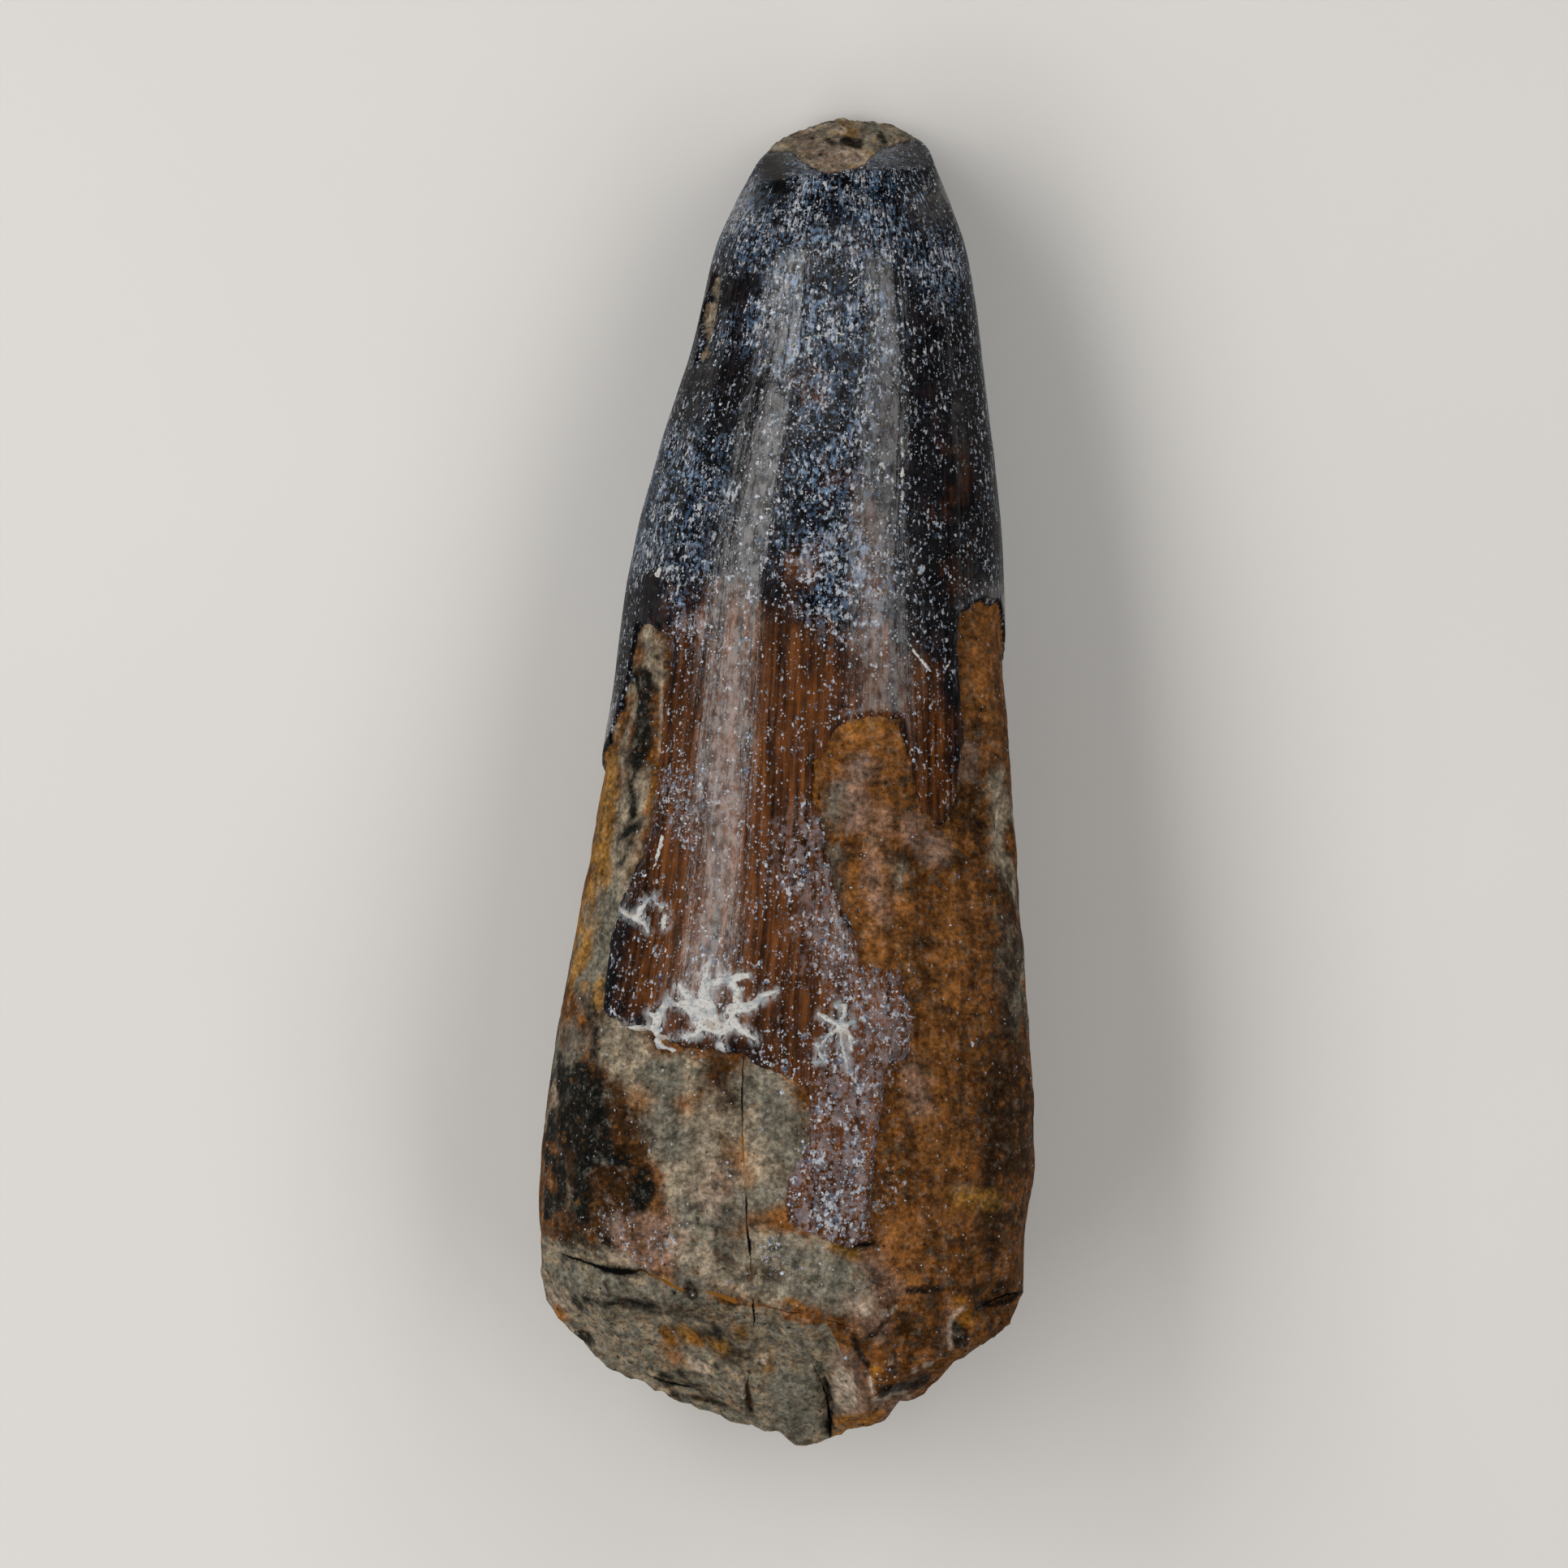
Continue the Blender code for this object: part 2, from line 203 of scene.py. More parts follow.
FINE_CHIPS = (  # across, along, half width, half length, depth; only in this finer mesh
    (8.75, -26.9, 0.65, 1.15, 0.45),
    (7.7, -26.8, 0.5, 1.2, -0.16),
    (6.5, -27.6, 1.3, 1.0, 0.25),
    (5.8, -29.6, 1.1, 0.55, 0.4),
    (5.45, -30.6, 0.9, 0.6, -0.3),
    (4.1, -26.1, 1.0, 0.8, -0.2),
    (4.5, -27.3, 0.8, 0.35, 0.22),
    (3.3, -29.9, 1.0, 1.5, -0.25),
    (5.5, -28.9, 0.3, 0.6, 0.2),
    (7.0, -28.9, 0.6, 0.5, -0.2),
    (-7.9, -24.0, 0.7, 0.5, -0.12),
    (-9.3, -17.4, 0.5, 1.0, 0.18),
    (-8.0, -17.2, 0.7, 0.9, -0.14),
    (-6.6, -19.9, 0.5, 0.9, 0.12),
    (10.3, -25.6, 1.2, 0.7, 0.3),
    (-11.6, -26.0, 0.5, 0.6, -0.2),
    (6.6, -14.6, 0.9, 1.4, -0.1),
    (4.6, -5.6, 0.8, 1.3, -0.12),
    (7.6, -3.0, 0.7, 0.35, -0.12),
    (2.9, -1.2, 0.8, 0.9, 0.08),
)
LUMP_SIZE, LUMP_HEIGHT = 8.0, 0.22
GRIT_SIZE, GRIT_HEIGHT, GRIT_ON_ENAMEL = 2.6, 0.12, 0.3

# What the fine mesh adds to the solid's relief: size and height
FLUTES = (1.5, 0.02)
WRINKLES = (0.6, 0.012)
WRINKLE_STRETCH = 0.07
FLUTES_WORN, WRINKLES_WORN = 0.5, 0.6  # shares of their height that the bare dentine has lost
DENTINE_PITS = (1.1, 0.075)
PITS_ON_ENAMEL, PITS_TOP = 0.12, 0.35  # share left on the enamel, and the rises between pits end here
FINE_STEP = 0.1  # these change over at the enamel's edge within this much on each side
BREAK_CRUMBS = (1.3, 0.30)
STEEP_STRETCH = 0.6  # relief and grain are longer where the surface is steep
TIP_CRUMBS = (0.6, 0.1)
TIP_CRUMBS_ON_ENAMEL = 0.1  # share of the tip's crumbs and grain that its enamel shows

AROUND, ALONG = 360, 220  # points round the tooth, a multiple of 8, and bands along it
CROWD_ENDS = 0.35
WRAP_RADIUS = 10.0  # lengthwise patterns are drawn on a cylinder of this radius

# Colour zones as seen from above: radius, then across and along down the middle of each stroke
SEEN_MARKS = {
    "tan": (
        (0.5, (-6.9, 7.4), (-6.5, 5.5)),
        (0.25, (-7.4, 5.5), (-7.9, 2.5), (-8.2, 0.0)),
        (0.9, (-7.4, 0.0), (-7.7, -1.5), (-8.3, -4.5), (-8.9, -7.0), (-9.2, -9.5)),
        (1.3, (-8.3, -12.9), (-6.9, -14.4), (-5.2, -14.6)),
        (1.5, (-4.4, -17.0), (-4.4, -20.2)),
        (1.7, (-1.6, -15.6), (-1.2, -19.4)),
        (1.0, (-6.2, -15.4), (-6.0, -17.4)),
        (1.2, (-4.6, -22.6), (-2.8, -24.0), (-0.6, -24.6)),
        (1.3, (1.2, -23.6), (3.0, -24.9)),
        (0.6, (-1.4, -22.6), (1.6, -22.8)),
        (0.6, (10.95, -0.2), (10.85, -2.4), (11.2, -4.9)),
        (0.35, (-10.9, -19.0), (-10.6, -21.0)),
        (0.5, (-11.6, -12.8), (-11.9, -16.0)),
        (0.9, (-3.35, 24.8), (-3.75, 23.2), (-4.25, 21.3)),
        (0.3, (11.9, -8.8), (12.0, -10.6)),
    ),
    "slate": (
        (0.6, (-8.5, -5.0), (-9.0, -8.0), (-9.5, -11.0)),
        (1.0, (-6.0, -14.6), (-6.0, -16.8), (-5.6, -17.8)),
        (1.1, (-1.0, -15.2), (0.1, -16.8), (0.5, -18.0)),
        (0.8, (-0.9, -20.5), (-2.5, -21.2), (-4.8, -21.4)),
        (0.8, (-10.8, -12.6), (-11.2, -14.0)),
        (0.5, (2.6, -0.6), (2.5, -1.6)),
        (0.5, (2.3, -4.0), (2.2, -5.4)),
        (0.45, (5.4, -4.2), (5.6, -5.2)),
        (0.9, (1.6, -24.3), (3.7, -24.6)),
        (0.7, (-4.9, -24.2), (-4.3, -25.0)),
        (0.7, (-3.9, -22.5), (-2.7, -23.1)),
        (0.9, (-0.4, -22.9), (1.2, -23.8)),
        (0.6, (0.0, -24.8), (2.4, -25.3)),
        (0.7, (11.4, -7.0), (11.7, -12.0)),
        (0.6, (-10.6, -24.5), (-8.0, -24.9), (-5.2, -25.7)),
        (1.1, (0.3, -29.8), (0.7, -31.4)),
    ),
    "umber": (
        (0.55, (-3.3, -14.1), (-2.7, -15.7)),
        (1.0, (-9.2, -15.0), (-8.0, -16.8), (-7.6, -18.0)),
        (1.5, (-9.6, -19.0), (-8.4, -20.4), (-9.4, -21.6)),
        (0.5, (8.4, -0.6), (8.6, -1.4)),
        (0.45, (9.3, -1.2), (9.6, -2.6)),
        (0.3, (5.0, -3.5), (6.8, -4.1), (8.1, -3.9)),
        (0.25, (7.2, -7.7), (6.2, -8.0)),
        # painted shade: darker towards the right edge
        (0.5, (10.9, -5.0), (11.3, -8.0), (11.2, -11.0), (11.5, -15.0)),
        # painted shade: darker towards the right edge
        (0.6, (10.4, -14.2), (10.4, -17.2), (10.2, -20.0), (10.4, -23.0)),
        (0.35, (9.6, 3.4), (9.4, 0.6), (9.2, -0.8)),
        # painted shade: darker towards the right edge
        (0.9, (11.4, -16.0), (11.8, -19.0)),
        (0.5, (11.2, -21.6), (10.0, -22.4)),
        # painted shade along a crack across the rusty side
        (0.12, (8.0, -11.3), (9.0, -11.45), (10.2, -11.4)),
        (0.5, (6.0, -26.8), (7.4, -27.4)),
        (0.5, (-11.0, -22.4), (-9.6, -22.8)),
        (0.5, (-5.2, -27.0), (-3.8, -27.4), (-2.4, -28.2)),
        # painted shadow: the soft dark band under the break's top
        (0.3, (-7.4, -25.9), (-4.6, -26.0), (-2.6, -26.6)),
        (0.3, (-1.6, -24.0), (-0.4, -24.3)),
        (0.25, (-3.3, -23.2), (-2.5, -23.6)),
    ),
    "orange": (
        (0.3, (-4.9, -15.8), (-4.6, -16.1)),
        (0.3, (-2.3, -17.8), (-2.1, -18.6)),
        (0.25, (-6.2, -20.9), (-5.7, -21.2)),
        (0.4, (-1.2, -21.4), (0.0, -21.2)),
        (0.35, (-5.6, -28.0), (-5.4, -28.6)),
        (1.0, (5.3, 1.6), (4.6, 2.6), (3.2, 2.5)),
        (1.1, (4.2, -4.6), (5.2, -8.4)),
        (0.7, (5.0, -1.4), (4.6, -3.2)),
        (0.8, (8.8, -7.0), (8.2, -10.4)),
        (0.4, (1.6, 0.8), (1.5, -0.8)),
        (0.6, (3.2, 2.2), (2.7, 1.2)),
        (0.8, (9.6, 8.0), (9.6, 5.0), (9.8, 2.0)),
        (0.5, (3.4, -5.0), (4.0, -6.4)),
        (1.0, (8.6, -6.2), (8.4, -8.4), (8.1, -10.6), (9.3, -11.0)),
        (0.9, (7.5, -12.5), (7.4, -15.2), (7.5, -18.0), (8.4, -19.0), (8.4, -21.4)),
        (1.0, (5.8, -24.8), (5.0, -23.4), (6.2, -21.8)),
        (0.35, (-7.2, -15.4), (-7.0, -15.8)),
        (0.2, (-11.8, -25.8), (-11.2, -26.5)),
        (0.25, (8.3, -29.0), (7.0, -30.4)),
        (0.1, (-1.85, -18.2), (-1.8, -19.8)),
        (0.4, (8.7, -26.4), (8.9, -26.9)),
    ),
    "ochre": (
        (0.5, (-8.8, 1.6), (-9.2, 0.0), (-9.3, -2.0), (-9.3, -4.0), (-9.7, -6.0), (-10.2, -8.5),
         (-10.5, -9.8)),
        (0.45, (-9.2, -10.1), (-9.1, -10.9)),
        (0.35, (2.5, -22.6), (3.4, -23.2)),
        (0.5, (10.6, -20.6), (8.6, -20.4)),
        (0.3, (2.6, -32.4), (4.4, -31.7)),
        (0.25, (-0.9, -28.4), (-0.8, -28.9)),
        (0.25, (-5.0, -27.0), (-4.7, -27.3)),
        (0.3, (-3.3, -27.5), (-3.0, -27.9)),
        (0.2, (-2.3, -27.0), (-2.0, -27.2)),
        (0.5, (3.3, 31.1), (4.1, 30.9)),
        (0.35, (2.8, 32.6), (3.4, 32.4)),
    ),
    "pink": (
        (0.45, (5.0, -1.6), (4.4, -3.0), (4.4, -5.0), (4.8, -6.8)),
        (0.8, (3.6, 0.6), (3.5, -1.6)),
        (0.6, (6.3, -2.0), (7.6, -3.4)),
        (0.35, (9.1, 1.6), (9.0, 0.4)),
        (0.5, (6.5, -14.0), (6.8, -16.0)),
        (0.7, (4.4, -23.8), (5.2, -24.8), (3.6, -25.7), (4.5, -26.6)),
        (0.8, (3.2, -28.7), (3.2, -30.0), (3.4, -31.1)),
        (0.4, (4.8, -30.7), (6.0, -30.4)),
        (0.9, (-6.6, -21.9), (-5.4, -22.5), (-6.0, -23.3)),
        (0.5, (-8.4, -22.0), (-7.6, -23.4)),
        (0.2, (8.2, -26.0), (8.1, -27.0)),
        (0.2, (-11.7, -25.4), (-10.9, -26.2)),
        (0.7, (-3.4, -19.4), (-3.6, -20.4)),
        (0.6, (1.2, 31.9), (2.4, 31.0)),
    ),
    "stain": (
        (0.5, (-7.0, 5.1), (-6.95, 3.2), (-7.3, 1.0)),
        (0.25, (-7.6, 0.2), (-7.5, -1.6)),
        (0.3, (-7.3, -2.2), (-7.8, -2.5)),
        (0.15, (-7.5, -2.8), (-7.9, -4.0)),
        (0.25, (-9.6, -10.9), (-9.3, -12.6), (-9.4, -13.6)),
        (1.3, (-10.5, -14.9), (-10.3, -16.6), (-9.7, -17.2)),
        (0.5, (-9.3, -15.0), (-9.1, -16.4)),
        (0.35, (-11.4, -16.2), (-11.8, -17.4)),
        (0.45, (-9.4, -16.8), (-8.8, -17.9)),
        (0.35, (-9.2, -18.6), (-7.8, -18.7)),
        (0.6, (-6.8, -19.6), (-7.1, -20.6)),
        (0.55, (-11.4, -18.5), (-11.3, -21.0)),
        (0.4, (-10.0, -18.6), (-10.0, -21.4)),
        # Painted shadow: the thin strokes from here on darken the crevice under the ledge, the cliff, pits,
        # shaded hollows on the break, the ridge low on it, seams and the tip's hollow
        (0.12, (-10.9, -23.5), (-8.9, -23.9), (-7.0, -24.15)),
        (0.13, (2.1, -29.5), (2.2, -30.8), (2.3, -32.3)),
        (0.12, (-1.8, -30.0), (-1.6, -31.0)),
        (0.15, (-10.3, -25.4), (-8.8, -25.8), (-7.4, -25.7)),
        (0.22, (-3.5, -26.5), (-3.2, -27.4)),
        (0.15, (-6.0, -29.4), (-4.0, -30.0)),
        (0.1, (9.6, -25.6), (11.6, -25.4)),
        (0.12, (3.2, -22.75), (4.4, -22.75)),
        (0.25, (3.2, 31.9), (3.7, 31.7)),
    ),
    "haze": (
        (0.7, (0.1, 26.6), (1.1, 27.2)),
        (1.3, (-1.6, 28.6), (-0.9, 26.2), (0.4, 24.6)),
        (0.9, (1.4, 29.6), (0.9, 28.2)),
        (0.9, (2.2, 23.4), (3.8, 23.2)),
        (0.7, (0.2, 21.0), (1.4, 22.1), (4.0, 22.0)),
        (0.6, (-2.0, 22.4), (-1.2, 23.1)),
        (1.3, (2.4, 19.6), (1.8, 16.4), (1.9, 13.8), (1.4, 11.6)),
        (1.2, (3.4, 11.0), (3.0, 8.6)),
        (0.8, (7.3, 26.2), (7.7, 25.2)),
        (0.6, (-6.2, 15.6), (-6.9, 11.6)),
        (1.0, (-2.9, 27.6), (-2.6, 29.4)),
        (1.2, (4.4, 27.0), (4.6, 29.2)),
        (0.9, (-5.5, 16.0), (-4.0, 15.7), (-3.8, 14.4)),
        (0.6, (-4.9, 13.4), (-4.8, 11.2)),
        (0.4, (-4.9, -0.4), (-4.9, -1.6)),
        (0.5, (-5.0, 8.6), (-4.8, 7.8)),
        (0.9, (1.9, -6.6), (2.3, -8.2)),
        (0.7, (0.8, -3.0), (0.6, -4.4)),
        (1.5, (4.6, -10.4), (4.4, -13.6)),
        (1.2, (3.0, -17.0), (2.6, -18.6)),
        (1.2, (1.6, -20.4), (3.4, -21.4)),
        (0.9, (-8.2, -22.0), (-7.6, -23.4)),
        (0.8, (-6.0, -22.4), (-5.4, -23.2)),
        (0.6, (-0.6, -23.0), (0.6, -23.7)),
        (1.6, (3.4, -14.6), (2.6, -18.0), (2.2, -21.0)),
        (0.5, (5.2, -19.6), (5.0, -20.6)),
    ),
    "amber": (
        (0.5, (0.6, 10.9), (0.9, 10.2)),
        (0.1, (1.3, 19.9), (1.2, 19.2)),
        (0.2, (8.5, 10.4), (8.8, 9.6)),
        (-0.2, (8.6, 16.6), (9.2, 15.2), (8.0, 13.6)),
        (0.1, (2.6, 15.2), (3.2, 14.8)),
        (2.6, (-3.2, 6.8), (-2.4, 6.4), (0.4, 5.4)),
        (4.2, (-2.4, 2.6), (-2.8, -3.0), (-3.4, -9.0)),
        (2.4, (0.2, 2.6), (0.4, -2.0), (1.0, -7.0), (1.6, -12.0), (1.8, -17.0)),
        (2.8, (3.6, -9.6), (4.4, -13.0), (3.4, -16.0), (2.4, -21.6)),
        (0.8, (-5.6, -9.0), (-7.0, -10.6)),
        (1.2, (6.4, 5.0), (7.2, 3.0), (7.3, -1.0)),
        (0.4, (4.0, 13.4), (4.3, 8.4)),
        (1.1, (4.3, 7.0), (4.2, 3.6)),
    ),
    # Painted shadow in the crevice under the ledge, under ridges, at the cliff, and in seams, pits and the
    # tip's hollows
    "seam": (
        (0.2, (-8.9, -24.0), (-8.1, -24.15), (-7.5, -24.1)),
        (0.3, (-8.9, -24.85), (-8.7, -25.1)),
        (0.18, (-10.4, -25.6), (-10.0, -26.0)),
        (0.16, (-8.3, -25.45), (-7.2, -25.75), (-6.4, -25.85)),
        (0.3, (-4.7, -24.8), (-4.5, -25.2)),
        (0.2, (-5.2, -29.25), (-4.9, -29.35)),
        (0.14, (-6.1, -29.65), (-5.7, -29.85)),
        (0.12, (-4.25, -28.85), (-4.15, -28.95)),
        (0.12, (-3.4, -28.75), (-3.3, -28.9)),
        (0.13, (-1.85, -29.8), (-1.75, -30.8)),
        (0.3, (-10.0, -27.4), (-9.6, -27.7)),
        (0.14, (-5.6, -30.4), (-4.0, -30.5), (-2.9, -30.9)),
        (0.13, (4.85, -26.6), (4.5, -27.15), (4.15, -27.2)),
        (0.16, (3.4, -27.3), (3.7, -28.1), (4.15, -28.7)),
        (0.12, (2.25, -30.8), (2.25, -31.7)),
        (0.3, (4.9, -30.0), (5.8, -29.85), (6.5, -29.8), (6.95, -29.4)),
        (0.16, (5.5, -28.7), (5.55, -29.1)),
        (0.45, (8.6, -26.8), (8.7, -27.5)),
        (0.2, (9.6, -25.9), (10.9, -25.35), (11.8, -25.2)),
        (0.2, (6.1, -25.0), (7.6, -24.95)),
        (0.12, (3.2, -22.8), (4.4, -22.75)),
        (0.16, (-9.5, -17.6), (-8.7, -18.2)),
        (0.22, (3.0, 31.95), (3.7, 31.85)),
        (0.15, (2.2, 32.0), (2.4, 31.8)),
        (0.2, (4.8, 32.2), (5.0, 31.9)),
    ),
    "vein": (
        (0.15, (0.2, -25.45), (0.9, -25.8)),
        (0.3, (-4.5, -27.4), (-4.2, -27.6)),
        (0.3, (-5.9, -27.1), (-5.6, -27.6)),
        (0.28, (-11.4, -26.1), (-11.1, -26.5)),
        (0.3, (2.6, -31.6), (3.7, -31.6), (4.3, -31.3)),
        (0.18, (2.45, -32.5), (3.3, -32.1), (4.2, -31.6), (4.8, -31.2)),
        (0.22, (4.4, -28.8), (4.5, -29.0)),
        (0.4, (8.8, -26.1), (9.0, -26.5)),
        (0.2, (8.6, -25.5), (8.9, -25.5)),
        (0.22, (8.3, -29.1), (7.7, -29.6)),
        (0.12, (-6.3, 0.8), (-6.5, -0.4), (-6.8, -1.5)),
        (0.14, (1.5, 0.9), (1.55, -0.8)),
        (0.2, (5.5, 2.6), (4.6, 3.0), (3.2, 2.7)),
    ),
    "pale": (
        (0.1, (9.0, -25.85), (8.4, -26.2), (8.15, -26.7), (8.15, -27.3), (8.2, -27.9)),
        (0.1, (4.2, -29.3), (4.45, -30.1), (4.45, -30.7)),
        (0.1, (4.7, -30.5), (5.3, -30.2), (6.0, -30.2), (6.25, -30.6)),
        (0.13, (6.3, -29.0), (6.5, -28.9)),
        (0.16, (7.0, -28.7), (7.2, -28.65)),
        (0.09, (5.3, -28.2), (5.25, -28.6)),
        (0.1, (5.5, -25.8), (5.3, -26.1)),
        (0.1, (4.95, -26.0), (4.8, -26.3)),
        (0.16, (-11.7, -25.4), (-10.9, -25.9)),
        (0.25, (-4.5, -28.6), (-3.9, -29.1)),
        (0.1, (-2.05, -29.4), (-2.0, -30.4)),
        (0.2, (-1.0, -28.2), (-0.9, -28.5)),
        (0.5, (2.9, -29.3), (3.1, -30.6)),
        (0.3, (4.1, -25.7), (4.0, -26.0)),
        (0.07, (1.3, 0.8), (1.25, -0.7)),
        (0.07, (7.0, -3.35), (7.9, -3.4)),
        (0.07, (-6.05, 6.6), (-6.1, 1.4)),
        (0.12, (11.8, -9.3), (11.85, -10.3)),
        (0.16, (10.8, -0.6), (10.8, -2.4), (11.1, -4.9)),
        (0.45, (3.0, 31.2), (3.8, 31.0)),
        (0.2, (1.4, 32.6), (2.2, 33.0)),
        (0.22, (2.5, 32.7), (2.9, 32.5)),
    ),
    "matte": (
        (1.2, (-1.6, 30.6), (0.4, 29.9), (3.0, 29.6), (5.6, 30.0), (7.4, 31.0)),
        (1.4, (-3.4, 27.0), (-5.2, 20.0), (-6.9, 12.0), (-8.2, 5.0)),
        (1.4, (8.7, 27.0), (10.1, 18.0), (10.7, 11.0)),
        (2.6, (4.9, -10.6), (4.6, -13.4)),
        (2.2, (3.4, -16.6), (2.2, -21.4)),
        (1.6, (-2.4, -13.2), (-6.4, -12.4)),
        (1.0, (-8.2, -7.4), (-8.6, -10.8)),
        (1.3, (7.7, -0.4), (7.6, 2.4)),
    ),
    "void": (
        (0.6, (-0.6, 30.5), (-0.2, 29.6)),
        (0.6, (-2.8, 24.2), (-1.7, 24.8)),
        (0.3, (0.7, 13.0), (0.6, 12.6)),
        (0.7, (8.8, 14.8), (8.8, 13.8)),
        (0.2, (-1.9, 25.4), (-2.2, 22.6), (-2.6, 20.2)),
        (0.6, (-6.6, 9.6), (-6.2, 8.2)),
    ),
}
# The same round the underside, where the photograph doesn't show it: radius, then turn and along
HIDDEN_MARKS = {
    "tan": (
        (2.2, (-105, -4.0), (-112, -12.0), (-104, -19.0)),
        (2.8, (150, -14.0), (165, -20.0)),
        (1.4, (122, 2.0), (128, -4.0)),
        (1.6, (-140, -22.0), (-160, -25.0)),
    ),
    "slate": (
        (1.6, (-125, -16.0), (-132, -21.0)),
        (1.6, (170, -23.0), (155, -25.0)),
        (1.0, (108, -18.0), (114, -23.0)),
    ),
    "umber": (
        (1.4, (118, -8.0), (124, -14.0)),
        (1.5, (-160, -18.0), (-150, -22.0)),
        (0.9, (102, -2.0), (104, -6.0)),
    ),
    "orange": (
        (1.6, (132, -18.0), (126, -24.0)),
        (1.2, (-118, -6.0), (-122, -9.0)),
        (1.3, (180, -15.0), (-174, -19.0)),
    ),
    "stain": (
        (1.0, (-116, -8.0), (-122, -13.0)),
        (1.2, (175, -12.0), (-172, -17.0)),
        (0.7, (112, -14.0), (116, -19.0)),
        (0.6, (100, -22.0), (104, -26.0)),
    ),
    "ochre": ((0.8, (-98, -2.0), (-103, -6.0)), (0.9, (140, -9.0), (146, -12.0))),
    "pink": ((1.0, (104, -8.0), (110, -12.0)), (0.8, (-150, -14.0), (-155, -18.0))),
    "haze": (
        (2.4, (-106, 14.0), (-114, 8.0)),
        (2.4, (104, 20.0), (112, 13.0)),
        (3.0, (170, 22.0), (-170, 12.0)),
        (2.0, (-130, 24.0), (-140, 19.0)),
    ),
    "amber": (
        (3.2, (-118, 4.0), (-140, -1.0)),
        (3.4, (178, 2.0), (-168, -5.0)),
        (1.6, (120, 8.0), (134, 3.0)),
    ),
    "void": ((1.0, (-150, 27.0), (-160, 24.0)), (0.9, (130, 25.0), (124, 22.0))),
}
# Colour zones of the break's underside: radius, then across and height
BREAK_MARKS = {
    "ochre": ((1.6, (-2.0, 5.0), (1.0, 4.0)),),
    "pink": ((1.0, (6.5, 5.0), (7.5, 7.0)),),
    "stain": ((0.8, (4.0, 2.0), (6.0, 3.0)), (0.4, (1.8, 7.0), (1.4, 3.0))),
    "slate": ((2.4, (-6.0, 3.5), (-8.0, 6.0)),),
    "umber": ((1.4, (3.2, 6.0), (4.0, 4.0)),),
}
FARTHEST = 4.0  # marks are not measured further away than this
STEEP_TURNS = (52, 84)  # degrees of turn between which the marks begin to wander
WANDER = (2.4, 1.5)  # size and reach, in millimetres, of how a mark wanders on the sides and below
